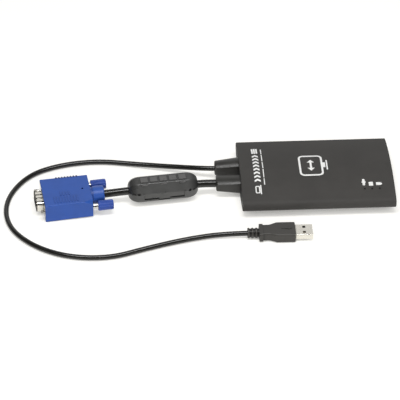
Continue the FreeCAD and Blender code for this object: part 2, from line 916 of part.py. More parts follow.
def ferrite_hollow():
    """Room for both core halves and for the cable, with the key holes and end slots in the near seam."""
    reach = core_length / 2 + ferrite_play
    core_room = rod(-reach, reach, 0, 0, core_radius + ferrite_play)
    bore = rod(-ferrite_length, ferrite_length, 0, 0, video_radius + cable_play)
    keys = []
    for sign in (1, -1):
        x = sign * (ferrite_length / 2 - key_inset)
        start = Vec(x, -ferrite_vertex, 0)
        keys.append(Part.makeCylinder(key_radius, key_depth, start, ACROSS))
        size = (end_slot_length, end_slot_depth, end_slot_height)
        x = sign * (ferrite_length / 2 - end_slot_inset)
        keys.append(centred_block(size, x, end_slot_depth / 2 - ferrite_vertex, -end_slot_height / 2))
    return joined([core_room, bore] + keys)


def ferrite_half_space(sign):
    """Everything above or below the ferrite's seam."""
    reach = ferrite_length
    heights = sorted((sign * ferrite_seam / 2, sign * reach))
    return block(-reach, reach, -reach, reach, heights[0], heights[1])


def make_ferrite_upper():
    """Upper half: latch flap, raised tiles on the top facet, lugs on the next one, middle hinge knuckle."""
    body = ferrite_body()
    upper = body.common(ferrite_half_space(1))
    tiles = []
    for i in range(tile_count):
        x = (i - (tile_count - 1) / 2) * tile_pitch
        size = (tile_length, tile_width, tile_root + tile_relief)
        tiles.append(facet_turned(centred_block(size, x, 0, ferrite_across / 2 - tile_root)))
    for i in range(lug_count):
        x = (i - (lug_count - 1) / 2) * lug_pitch
        size = (lug_length, lug_width, lug_root + lug_relief)
        side = ferrite_facet / 2 - lug_drop
        tiles.append(facet_turned(centred_block(size, x, side, ferrite_across / 2 - lug_root), 1.5))
    flap = flap_blocks(0.0).common(body)
    upper = joined([upper, flap] + tiles).cut(ferrite_hollow())
    reach = hinge_half_length + hinge_clearance
    room = hinge_radius + hinge_clearance
    upper = upper.cut(hinge_bar(-reach, -hinge_middle_half, room))
    upper = upper.cut(hinge_bar(hinge_middle_half, reach, room))
    return joined([upper, hinge_bar(-hinge_middle_half, hinge_middle_half, hinge_radius)])


def make_ferrite_lower():
    """Lower half: the pocket for the latch flap and the two outer hinge knuckles."""
    lower = ferrite_body().common(ferrite_half_space(-1))
    lower = lower.cut(flap_blocks(ferrite_play)).cut(ferrite_hollow())
    middle = hinge_middle_half + hinge_clearance
    lower = lower.cut(hinge_bar(-middle, middle, hinge_radius + hinge_clearance))
    knuckles = [
        hinge_bar(-hinge_half_length, -middle, hinge_radius),
        hinge_bar(middle, hinge_half_length, hinge_radius),
    ]
    return joined([lower] + knuckles)


def make_core(sign):
    reach = core_length / 2
    ring = rod(-reach, reach, 0, 0, core_radius).cut(rod(-reach, reach, 0, 0, video_radius + cable_play))
    return ring.common(ferrite_half_space(sign))


def in_data_plug(shape):
    return placed(shape, data_plug_x, data_plug_y, data_axis, data_plug_yaw)


def data_cable_room():
    """The data cable's bore as seen from the plug's own frame."""
    tube = cable_tube(data_route, data_radius + cable_fit)
    return unplaced(tube, data_plug_x, data_plug_y, data_axis, data_plug_yaw)


def make_overmould():
    """The grip block, the waisted neck, its end plate and the ringed strain relief, moulded in one."""
    grip = bar(-grip_block_length, 0, 0, 0, grip_block_width, grip_block_height, grip_block_corner)
    rim = [e for e in grip.Edges if abs(e.CenterOfMass.x) < 0.01]
    grip = grip.makeFillet(grip_block_corner / 2, rim)
    wires = []
    for i in range(taper_steps + 1):
        part = i / taper_steps
        ease = part * part * (3 - 2 * part)
        width = grip_block_width + (neck_width - grip_block_width) * ease
        height = grip_block_height + (neck_height - grip_block_height) * ease
        x = -grip_block_length - taper_length * part
        wires.append(rectangle_wire(x, 0, 0, width, height, grip_block_corner))
    taper = Part.makeLoft(wires, True, False)
    neck_start = -grip_block_length - taper_length
    plate_start = neck_start - neck_length
    relief_start = plate_start - collar_plate_length
    end = relief_start - relief_length
    pieces = [grip, taper]
    pieces.append(bar(plate_start, neck_start, 0, 0, neck_width, neck_height, grip_block_corner))
    plate_size = (collar_plate_width, collar_plate_height, grip_block_corner)
    pieces.append(bar(relief_start, plate_start, 0, 0, *plate_size))
    pieces.append(rod(end, relief_start, 0, 0, relief_core_radius))
    pitch = relief_length / relief_rings
    for i in range(relief_rings):
        x = end + i * pitch
        ring = rod(x, x + relief_ring_length, 0, 0, relief_ring_radius)
        rims = [e for e in ring.Edges if len(e.Vertexes) == 1]
        pieces.append(ring.makeFillet(relief_ring_length / 4, rims))
    body = joined(pieces).cut(data_cable_room())
    root = bar(-data_shell_root, 0, 0, 0, data_shell_width, data_shell_height, data_shell_corner)
    return body.cut(root)


def make_data_shell():
    """The folded metal shell with two windows in its top and two in its underside."""
    rear = -data_shell_root
    outer = bar(rear, data_shell_reach, 0, 0, data_shell_width, data_shell_height, data_shell_corner)
    wall = 2 * data_shell_wall
    width = data_shell_width - wall
    height = data_shell_height - wall
    corner = data_shell_corner - data_shell_wall
    shell = outer.cut(bar(rear, data_shell_reach, 0, 0, width, height, corner))
    x = data_shell_reach - window_from_front
    size = (window_size, window_size, data_shell_height)
    for sign in (1, -1):
        shell = shell.cut(centred_block(size, x, sign * window_side, -data_shell_height / 2))
    return shell


def data_tongue_top():
    return -data_shell_height / 2 + data_shell_wall + data_tongue_gap + data_tongue_height


def make_data_tongue():
    """The plastic tongue in the lower part of the metal shell, with its base block."""
    low = -data_shell_height / 2 + data_shell_wall + data_tongue_gap
    half = data_shell_width / 2 - data_shell_wall - data_tongue_gap
    front = data_shell_reach - data_tongue_setback
    blade = block(-data_shell_root, front, -half, half, low, data_tongue_top())
    base = block(-data_shell_root, 0, -half, half, low, -low)
    return joined([blade, base])


def make_data_contacts():
    middle = data_shell_reach - 2 * data_tongue_setback - contact_length / 2
    size = (contact_length, contact_width, contact_relief)
    strips = [centred_block(size, middle, side, data_tongue_top()) for side in contact_offsets]
    return Part.makeCompound(strips)


def all_parts():
    near = -screw_spacing / 2
    far = screw_spacing / 2
    screws = {}
    for name, sign in (("cable_end_screws", -1), ("port_end_screws", 1)):
        screws[name] = Part.makeCompound([plate_screw(sign, s) for s in (channel_side, -channel_side)])
    parts = {
        "case_sleeve": make_sleeve(),
        "cable_end_plate": make_cable_plate(),
        "port_end_plate": make_port_plate(),
        "cable_end_screws": screws["cable_end_screws"],
        "port_end_screws": screws["port_end_screws"],
        "circuit_board": make_board(),
        "converter_chip": leaded_chip(converter_chip, case_end - converter_from_end, converter_side),
        "memory_chip": leaded_chip(memory_chip, case_end - memory_from_end, memory_side),
        "hub_chip": leaded_chip(hub_chip, case_end - hub_from_end, hub_side),
        "status_lamps": make_lamps(),
        "light_guide": make_light_guide(),
        "link_socket_shell": make_socket_shell(),
        "link_socket_tongue": make_socket_tongue(),
        "link_socket_contacts": make_socket_contacts(),
        "data_board_header": make_header(data_boot_side, data_cable_diameter),
        "video_board_header": make_header(video_boot_side, video_cable_diameter),
        "data_wires": make_wires(data_boot_side, data_cable_diameter),
        "video_wires": make_wires(video_boot_side, video_cable_diameter),
        "data_cable_boot": make_boot(data_boot_side, data_route, data_cable_diameter),
        "video_cable_boot": make_boot(video_boot_side, video_route, video_cable_diameter),
        "data_cable": cable_tube(data_route, data_radius),
        "video_cable": cable_tube(video_route, video_radius),
        "ferrite_upper_case": on_ferrite(make_ferrite_upper()),
        "ferrite_lower_case": on_ferrite(make_ferrite_lower()),
        "ferrite_upper_core": on_ferrite(make_core(1)),
        "ferrite_lower_core": on_ferrite(make_core(-1)),
        "video_plug_hood": in_video_plug(make_hood()),
        "video_plug_shell": in_video_plug(make_video_shell()),
        "video_plug_insulator": in_video_plug(make_insulator()),
        "video_plug_pins": in_video_plug(make_pins()),
        "near_thumbscrew": in_video_plug(make_thumbscrew(near, 0.0)),
        "far_thumbscrew": in_video_plug(make_thumbscrew(far, far_screw_push)),
        "near_thumbscrew_knob": in_video_plug(make_knob(near, 0.0)),
        "far_thumbscrew_knob": in_video_plug(make_knob(far, far_screw_push)),
        "data_plug_overmould": in_data_plug(make_overmould()),
        "data_plug_shell": in_data_plug(make_data_shell()),
        "data_plug_tongue": in_data_plug(make_data_tongue()),
        "data_plug_contacts": in_data_plug(make_data_contacts()),
    }
    return parts


def print_cables():
    """Prints each cable's corner radii, length and volume against section times length."""
    for name, route, radius in (("data", data_route, data_radius), ("video", video_route, video_radius)):
        bends = [round(corner[3], 1) for corner in route_corners(route)]
        length = route_length(route)
        ratio = cable_tube(route, radius).Volume / (math.pi * radius ** 2 * length)
        print(name, "cable bend radii", bends)
        print(name, "cable length", round(length, 1), "volume over section times length", ratio)


def print_axes():
    """Prints the turning axes and the places of the plugs, for the record."""
    hinge = on_ferrite(hinge_bar(-1, 1, hinge_radius))
    centre, yaw = ferrite_frame()
    print("ferrite hinge", hinge.CenterOfMass, "yaw", yaw)
    for name, side in (("near", -screw_spacing / 2), ("far", screw_spacing / 2)):
        axis = in_video_plug(rod(-1, 1, side, hood_axis, 1))
        print(name, "thumbscrew axis", axis.CenterOfMass)
    plane = flange_front - captive_gap - far_screw_push - captive_gap / 2
    print("stud plane", in_video_plug(rod(plane - 1, plane + 1, 0, hood_axis, 1)).CenterOfMass)
    rim = flange_front - shell_reach
    print("video plug rim", in_video_plug(rod(rim - 1, rim + 1, 0, hood_axis, 1)).CenterOfMass)
    front = data_shell_reach
    print("data plug rim", in_data_plug(rod(front - 1, front + 1, 0, 0, 1)).CenterOfMass)


os.makedirs("parts", exist_ok=True)
for name, shape in all_parts().items():
    shape.exportStep("parts/" + name + ".step")
    print(name, len(shape.Solids), shape.isValid(), round(shape.Volume, 1))
print_cables()
print_axes()
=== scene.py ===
import math

import bmesh
import bpy
from bpy.props import FloatProperty, FloatVectorProperty, PointerProperty
from bpy.types import NodeSocket, Operator, Panel, PropertyGroup
from mathutils import Matrix, Quaternion, Vector


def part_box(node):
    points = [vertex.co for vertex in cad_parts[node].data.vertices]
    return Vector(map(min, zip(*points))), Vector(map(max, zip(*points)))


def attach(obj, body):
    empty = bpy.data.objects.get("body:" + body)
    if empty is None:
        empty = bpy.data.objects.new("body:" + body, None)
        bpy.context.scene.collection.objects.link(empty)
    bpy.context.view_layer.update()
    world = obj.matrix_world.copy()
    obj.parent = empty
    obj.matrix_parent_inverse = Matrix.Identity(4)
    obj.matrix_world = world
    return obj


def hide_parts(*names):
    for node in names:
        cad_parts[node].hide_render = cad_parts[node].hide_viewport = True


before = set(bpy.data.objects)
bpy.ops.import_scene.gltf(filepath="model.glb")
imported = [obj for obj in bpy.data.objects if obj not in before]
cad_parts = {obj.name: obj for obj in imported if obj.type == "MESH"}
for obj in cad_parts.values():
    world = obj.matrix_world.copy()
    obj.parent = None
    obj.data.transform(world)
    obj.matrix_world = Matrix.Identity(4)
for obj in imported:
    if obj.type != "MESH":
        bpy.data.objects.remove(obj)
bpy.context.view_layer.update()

bl_info = {
    "name": "Crash cart adapter",
    "version": (1, 0, 0),
    "blender": (4, 5, 0),
    "location": "View3D > Sidebar > Adapter",
    "description": "Finishes, cables and print for a pocket crash cart adapter",
    "category": "Object",
}

MM = 0.001
WHITE = (1.0, 1.0, 1.0, 1.0)
# An edge that turns by more than this stays crisp on a smooth piece
SHARP_ANGLE = math.radians(35)

# Cable centre lines in millimetres, from inside the case to inside the plug
VIDEO_ROUTE = [
    (-51.5, -7.5, 9.0),
    (-60.0, -7.5, 9.0),
    (-76.0, -7.5, 9.0),
    (-88.0, -8.3, 9.95),
    (-143.5, -14.5, 9.95),
    (-172.13, -16.57, 7.7),
]
DATA_ROUTE = [
    (-51.5, 10.3, 9.0),
    (-60.0, 10.3, 9.0),
    (-78.0, 10.3, 9.0),
    (-107.0, 19.7, 4.5),
    (-136.0, 27.5, 1.95),
    (-164.0, 32.5, 1.95),
    (-194.0, 28.5, 1.95),
    (-218.0, 16.5, 1.95),
    (-234.0, -11.5, 1.95),
    (-233.0, -41.5, 1.95),
    (-215.5, -65.0, 1.95),
    (-189.0, -79.5, 1.95),
    (-158.0, -82.0, 1.95),
    (-131.5, -72.5, 1.95),
    (-102.0, -63.5, 1.95),
    (-73.0, -58.8, 2.5),
    (-49.7, -60.9, 3.9),
]
# The face of the case that the cables leave by
CABLE_FACE = -57.5

# From the video plug's axis to each thumbscrew, and how far the far one is pushed in
SCREW_SIDE = 12.495
FAR_SCREW_PUSH = 1.9
LENGTHWISE = Vector((1.0, 0.0, 0.0))
SIDEWAYS = Vector((0.0, 1.0, 0.0))


def plug_frame(place, degrees):
    """A plug's own frame, from its place in millimetres and its turn about Z."""
    return Matrix.Translation(Vector(place) * MM) @ Matrix.Rotation(math.radians(degrees), 4, "Z")


# The middle of the video plug's hood without its collar, +X to its cable
VIDEO_PLUG = plug_frame((-188.4, -18.6, 7.7), 7.1)
# The front of the data plug's overmould, +X to its metal shell
DATA_PLUG = plug_frame((-20.3, -60.9, 3.9), -0.5)

# What settings of one kind have in common
COLOUR = {"subtype": "COLOR", "size": 3, "min": 0.0, "max": 1.0}
SHARE = {"subtype": "FACTOR", "min": 0.0, "max": 1.0}


class CaseSettings(PropertyGroup):
    """Finish of the case and of the print on it."""

    coat: FloatVectorProperty(
        name="Coat", description="Colour of the anodised coat", default=(0.05, 0.0475, 0.0442), **COLOUR)
    coat_roughness: FloatProperty(
        name="Coat roughness", description="How matt the anodised coat is", default=0.65, **SHARE)
    plate: FloatVectorProperty(
        name="End plates", description="Colour of the moulded end plates",
        default=(0.018, 0.018, 0.018), **COLOUR)
    side_radius: FloatProperty(
        name="Side radius", description="Radius of the sleeve's long sides", unit="LENGTH", default=4.5 * MM)
    ink: FloatVectorProperty(
        name="Ink", description="Colour of the screen print", default=(0.86, 0.86, 0.84), **COLOUR)
    ink_height: FloatProperty(
        name="Ink height", description="How far the print stands above the coat", unit="LENGTH",
        default=0.05 * MM)
    ink_root: FloatProperty(
        name="Ink root", description="How far the print reaches below the coat", unit="LENGTH",
        default=0.1 * MM)


class CableSettings(PropertyGroup):
    """Cables and their boots."""

    video_diameter: FloatProperty(
        name="Video cable", description="Diameter of the video cable", unit="LENGTH", default=6.0 * MM)
    data_diameter: FloatProperty(
        name="Data cable", description="Diameter of the data cable", unit="LENGTH", default=3.9 * MM)
    jacket: FloatVectorProperty(
        name="Jacket", description="Colour of the cable jackets", default=(0.0125, 0.0122, 0.0108), **COLOUR)
    boot: FloatVectorProperty(
        name="Boots", description="Colour of the cable boots", default=(0.03, 0.029, 0.0262), **COLOUR)
    ferrite: FloatVectorProperty(
        name="Ferrite case", description="Colour of the clip-on ferrite case",
        default=(0.062, 0.062, 0.06), **COLOUR)
    # Painted highlight: a lighter colour on the ferrite's raised tiles, for the light they catch
    polished: FloatVectorProperty(
        name="Polished tops", description="Colour of the polished tiles on the ferrite case",
        default=(0.115, 0.113, 0.11), **COLOUR)


class PlugSettings(PropertyGroup):
    """Plugs at the ends of the cables."""

    hood: FloatVectorProperty(
        name="Hood", description="Colour of the video plug's hood", default=(0.024, 0.087, 0.375), **COLOUR)
    knob: FloatVectorProperty(
        name="Knobs", description="Colour of the thumbscrew knobs", default=(0.025, 0.071, 0.345), **COLOUR)
    shell: FloatVectorProperty(
        name="Shells", description="Colour of the plated plug shells", default=(0.77, 0.745, 0.675), **COLOUR)
    overmould: FloatVectorProperty(
        name="Overmould", description="Colour of the data plug's overmould",
        default=(0.049, 0.0462, 0.0416), **COLOUR)
    thread_pitch: FloatProperty(
        name="Thread pitch", description="Pitch of the thumbscrew threads", unit="LENGTH", default=0.635 * MM)


class StageSettings(PropertyGroup):
    """Floor, light and camera."""

    floor: FloatVectorProperty(
        name="Floor", description="Colour of the floor", default=(0.86, 0.86, 0.86), **COLOUR)
    shadow: FloatProperty(
        name="Shadow", description="Share of the floor's brightness that a shadow can take away",
        default=0.62, **SHARE)
    tint: FloatVectorProperty(
        name="Shadow tint", description="Colour that the floor takes on in shadow",
        default=(1.0, 0.99, 0.955), **COLOUR)
    white: FloatProperty(
        name="White", description="Brightness of the open floor as the camera sees it, 1 being white",
        min=0.0, default=1.18)
    backdrop: FloatProperty(
        name="Backdrop", description="Strength of the light from the pale wall behind", min=0.0, default=0.9)
    room: FloatProperty(
        name="Room", description="Strength of the light from the dark room in front", min=0.0, default=0.07)
    ceiling: FloatProperty(
        name="Ceiling", description="How bright the ceiling is beside the walls", default=0.2, **SHARE)
    sides: FloatProperty(
        name="Sides", description="How bright the room is to both sides beside the backdrop",
        default=0.25, **SHARE)
    lamp: FloatProperty(
        name="Softbox", description="Power of the long softbox overhead", subtype="POWER", min=0.0,
        default=8.0)
    fill: FloatProperty(
        name="Fill", description="Power of the weak lamp beside the camera", subtype="POWER", min=0.0,
        default=11.0)
    azimuth: FloatProperty(
        name="Azimuth", description="Where the camera stands round the object", subtype="ANGLE",
        default=math.radians(-4.017))
    elevation: FloatProperty(
        name="Elevation", description="Camera height above the horizon", subtype="ANGLE",
        default=math.radians(39.3))
    roll: FloatProperty(
        name="Roll", description="Camera turn about its own line of sight", subtype="ANGLE",
        default=math.radians(0.87))
    distance: FloatProperty(
        name="Distance", description="Camera to the point that it looks at", unit="LENGTH", default=1.84)
    target: FloatVectorProperty(
        name="Target", description="Point on the floor that the camera looks at", subtype="TRANSLATION",
        size=3, default=(-88.06 * MM, -15.77 * MM, 0.0))
    lens: FloatProperty(
        name="Lens", description="Focal length for a 36 mm sensor", default=219.9)


class Wiring:
    """Short calls to add and join the nodes of one tree."""

    # Where a Mix node keeps its two colours and its mixed colour
    mix_first, mix_second, mix_result = 6, 7, 2

    def __init__(self, tree):
        self.tree = tree

    def add(self, kind, **values):
        node = self.tree.nodes.new("ShaderNode" + kind)
        for name, value in values.items():
            setattr(node, name, value)
        return node

    def put(self, value, socket):
        """Join another socket to this one, or set a plain value on it."""
        if isinstance(value, NodeSocket):
            self.tree.links.new(value, socket)
        else:
            socket.default_value = value

    def feed(self, node, **inputs):
        """Put values on a node's inputs by their labels, with _ for a space."""
        for label, value in inputs.items():
            self.put(value, node.inputs[label.replace("_", " ")])
        return node

    def group(self, name, **inputs):
        """The outputs of a shared group that is placed here with its own values."""
        return self.feed(self.add("Group", node_tree=bpy.data.node_groups[name]), **inputs).outputs

    def place(self):
        """The place on the surface, in the object's own frame."""
        return self.add("TexCoord").outputs["Object"]

    def combine(self, kind, operation, first, second):
        node = self.add(kind, operation=operation)
        self.put(first, node.inputs[0])
        self.put(second, node.inputs[1])
        return node

    def maths(self, operation, first, second=0.0):
        return self.combine("Math", operation, first, second).outputs[0]

    def dot(self, first, second):
        return self.combine("VectorMath", "DOT_PRODUCT", first, second).outputs["Value"]

    def noise(self, vector, scale, detail, roughness=0.5):
        node = self.add("TexNoise")
        self.feed(node, Vector=vector, Scale=scale, Detail=detail, Roughness=roughness)
        return node.outputs["Fac"]

    def spread(self, value, source, target=(0.0, 1.0)):
        """A value moved from one range to another, and held at the ends."""
        node = self.add("MapRange")
        self.feed(node, Value=value, From_Min=source[0], From_Max=source[1])
        self.feed(node, To_Min=target[0], To_Max=target[1])
        return node.outputs["Result"]

    def distance(self, place, direction, origin):
        """How far a place lies from an origin, in metres, along a direction."""
        return self.maths("SUBTRACT", self.dot(place, direction), origin.dot(direction))

    def blend(self, factor, first, second):
        """A colour between two, each a socket or a plain colour."""
        node = self.feed(self.add("Mix", data_type="RGBA"), Factor=factor)
        for place, value in ((self.mix_first, first), (self.mix_second, second)):
            self.put(value if isinstance(value, NodeSocket) else (*value, 1.0), node.inputs[place])
        return node.outputs[self.mix_result]

    def choose(self, share, first, second, target):
        """Send a mix of two shaders to the target."""
        mix = self.add("MixShader")
        for socket, value in zip(mix.inputs, (share, first.outputs[0], second.outputs[0])):
            self.put(value, socket)
        self.put(mix.outputs[0], target)


def new_group(name, inputs, outputs):
    """An empty shader group of floats: its wiring, the sockets that it is given and its end node."""
    group = bpy.data.node_groups.new(name, "ShaderNodeTree")
    for label, default in inputs.items():
        socket = group.interface.new_socket(label, in_out="INPUT", socket_type="NodeSocketFloat")
        socket.default_value = default
    for label in outputs:
        group.interface.new_socket(label, in_out="OUTPUT", socket_type="NodeSocketFloat")
    start = group.nodes.new("NodeGroupInput")
    return Wiring(group), start.outputs, group.nodes.new("NodeGroupOutput")


def make_grain_group():
    """Fine moulded or blasted grain, and slow drifts of tone."""
    cell_share = 0.5
    wiring, given, end = new_group("Grain", {"Scale": 2500.0, "Drift Scale": 90.0}, ["Height", "Drift"])
    place = wiring.place()
    fine = wiring.noise(place, given["Scale"], detail=2.0, roughness=0.6)
    cells = wiring.feed(wiring.add("TexVoronoi"), Vector=place, Scale=given["Scale"])
    coarse = wiring.maths("MULTIPLY", cells.outputs["Distance"], cell_share)
    drift = wiring.noise(place, given["Drift Scale"], detail=4.0, roughness=0.55)
    wiring.feed(end, Height=wiring.maths("ADD", fine, coarse), Drift=drift)


def make_wear_group():
    """Where edges are rubbed: the rounded normal leans away from the true one there."""
    lean_range = (0.99, 0.85)
    patch_scale, patch_range = 700.0, (0.35, 0.65)
    wiring, given, end = new_group("Edge wear", {"Width": 0.4 * MM, "Amount": 1.0}, ["Mask"])
    rounded = wiring.feed(wiring.add("Bevel", samples=4), Radius=given["Width"])
    facing = wiring.dot(rounded.outputs["Normal"], wiring.add("NewGeometry").outputs["Normal"])
    patches = wiring.spread(wiring.noise(wiring.place(), patch_scale, detail=3.0), patch_range)
    worn = wiring.maths("MULTIPLY", wiring.spread(facing, lean_range), patches)
    wiring.feed(end, Mask=wiring.maths("MULTIPLY", worn, given["Amount"]))


def make_drawn_group():
    """Fine lines along X, as on drawn or extruded metal."""
    wiring, given, end = new_group("Drawn lines", {"Scale": 2200.0, "Stretch": 0.01}, ["Height"])
    split = wiring.add("SeparateXYZ")
    wiring.put(wiring.place(), split.inputs[0])
    along = wiring.maths("MULTIPLY", split.outputs["X"], given["Stretch"])
    merged = wiring.feed(wiring.add("CombineXYZ"), X=along, Y=split.outputs["Y"], Z=split.outputs["Z"])
    wiring.feed(end, Height=wiring.noise(merged.outputs[0], given["Scale"], detail=2.0))


def make_crevice_group():
    """Painted shade: darker in dents and corners that little light reaches."""
    shelter_range = (0.94, 0.66)
    wiring, given, end = new_group("Crevice", {"Reach": 1.5 * MM, "Amount": 1.0}, ["Mask"])
    shelter = wiring.feed(wiring.add("AmbientOcclusion", samples=8), Distance=given["Reach"])
    mask = wiring.spread(shelter.outputs["AO"], shelter_range)
    wiring.feed(end, Mask=wiring.maths("MULTIPLY", mask, given["Amount"]))


def shader_of(material):
    return material.node_tree.nodes["Principled BSDF"]


def new_material(name):
    """A material, its wiring and its shader."""
    material = bpy.data.materials.new(name)
    material.use_nodes = True
    return material, Wiring(material.node_tree), shader_of(material)


def make_finish(name, colour, roughness, *, grain=2500.0, depth=0.012, drift=90.0, tone=0.25,
                gloss_swing=0.06, metallic=0.0, specular=0.5, wear=None, wear_width=0.4, wear_amount=0.5,
                lines=0.0, painted_shade=None, painted_shade_reach=1.5, painted_shade_amount=1.0):
    """A finish with grain, drifting tone and gloss, a wear colour on edges, and painted shade in dents.

    The grain's depth, the wear's width and the painted shade's reach are in millimetres.
    """
    tone_range, gloss_range = (0.3, 0.7), (0.25, 0.75)
    material, wiring, shader = new_material(name)
    material.diffuse_color = (*colour, 1.0)
    wiring.feed(shader, Metallic=metallic, Specular_IOR_Level=specular)
    surface = wiring.group("Grain", Scale=grain, Drift_Scale=drift)
    darker = [c * (1.0 - tone) for c in colour]
    lighter = [min(1.0, c * (1.0 + tone)) for c in colour]
    shade = wiring.blend(wiring.spread(surface["Drift"], tone_range), darker, lighter)
    if wear:
        worn = wiring.group("Edge wear", Width=wear_width * MM, Amount=wear_amount)
        shade = wiring.blend(worn["Mask"], shade, wear)
    # Painted shade: a darker colour in dents and corners, where little light reaches
    if painted_shade:
        crevice_shade = wiring.group("Crevice", Reach=painted_shade_reach * MM, Amount=painted_shade_amount)
        shade = wiring.blend(crevice_shade["Mask"], shade, painted_shade)
    gloss_ends = (roughness - gloss_swing, roughness + gloss_swing)
    gloss = wiring.spread(surface["Drift"], gloss_range, gloss_ends)
    height = surface["Height"]
    if lines:
        drawn = wiring.group("Drawn lines")["Height"]
        height = wiring.maths("ADD", height, wiring.maths("MULTIPLY", drawn, lines))
    bump = wiring.feed(wiring.add("Bump"), Distance=depth * MM, Height=height)
    wiring.feed(shader, Base_Color=shade, Roughness=gloss, Normal=bump.outputs["Normal"])
    return material


def make_clear(name, colour, roughness):
    """Clear moulded plastic with a faint cloud in it."""
    material = make_finish(name, colour, roughness, grain=1500.0, depth=0.004, tone=0.05, gloss_swing=0.03)
    Wiring(material.node_tree).feed(shader_of(material), Transmission_Weight=0.6, IOR=1.49)
    return material


def make_gold(name):
    return make_finish(
        name, (0.83, 0.6, 0.24), roughness=0.22, grain=3500.0, depth=0.004, metallic=1.0, tone=0.08,
        gloss_swing=0.05)


def make_plating(name, colour, roughness):
    """Bright plating, with painted shade where little light reaches."""
    return make_finish(
        name, colour, roughness, grain=2200.0, depth=0.006, drift=150.0, tone=0.06, gloss_swing=0.04,
        metallic=1.0, painted_shade=(0.05, 0.048, 0.042), painted_shade_reach=1.2, painted_shade_amount=0.5)


def tint_where(material, make_mask, colour):
    """Another colour on part of a material, by a mask made from the place in the object's own frame."""
    wiring = Wiring(material.node_tree)
    base = shader_of(material).inputs["Base Color"]
    mask = make_mask(wiring, wiring.place())
    wiring.put(wiring.blend(mask, base.links[0].from_socket, colour), base)


def direct_sight(wiring):
    """1 for rays that come straight, or by a mirror or glass, from the camera."""
    path = wiring.add("LightPath").outputs
    mirrored = wiring.maths("MAXIMUM", path["Is Glossy Ray"], path["Is Transmission Ray"])
    return wiring.maths("MAXIMUM", path["Is Camera Ray"], mirrored)


def dress(material, *nodes):
    """Gives CAD nodes one material."""
    for name in nodes:
        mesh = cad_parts[name].data
        mesh.materials.clear()
        mesh.materials.append(material)


def add_object(name, data, material):
    data.materials.append(material)
    piece = bpy.data.objects.new(name, data)
    bpy.context.scene.collection.objects.link(piece)
    return piece


def mesh_object(name, bm, material):
    bmesh.ops.recalc_face_normals(bm, faces=bm.faces)
    mesh = bpy.data.meshes.new(name)
    bm.to_mesh(mesh)
    bm.free()
    return add_object(name, mesh, material)


def bridge(bm, rings):
    """Faces from each ring of vertices to the next."""
    for first, second in zip(rings, rings[1:]):
        count = len(first)
        for i in range(count):
            j = (i + 1) % count
            bm.faces.new((first[i], first[j], second[j], second[i]))


def smooth(piece):
    """Shades a piece smooth between its crisp edges."""
    piece.data.shade_smooth()
    piece.data.set_sharp_from_angle(angle=SHARP_ANGLE)


def soften(piece, width, segments):
    """Rounds a piece's edges by a width in millimetres."""
    edge = piece.modifiers.new("Soft edge", "BEVEL")
    edge.width = width * MM
    edge.segments = segments


def metres(*lengths):
    """Millimetres as metres."""
    return [length * MM for length in lengths]


class ADAPTER_OT_groups(Operator):
    """Build the shader groups that several finishes share"""

    bl_idname = "adapter.groups"
    bl_label = "Shared finishes"

    def execute(self, context):
        make_grain_group()
        make_wear_group()
        make_drawn_group()
        make_crevice_group()
        return {"FINISHED"}


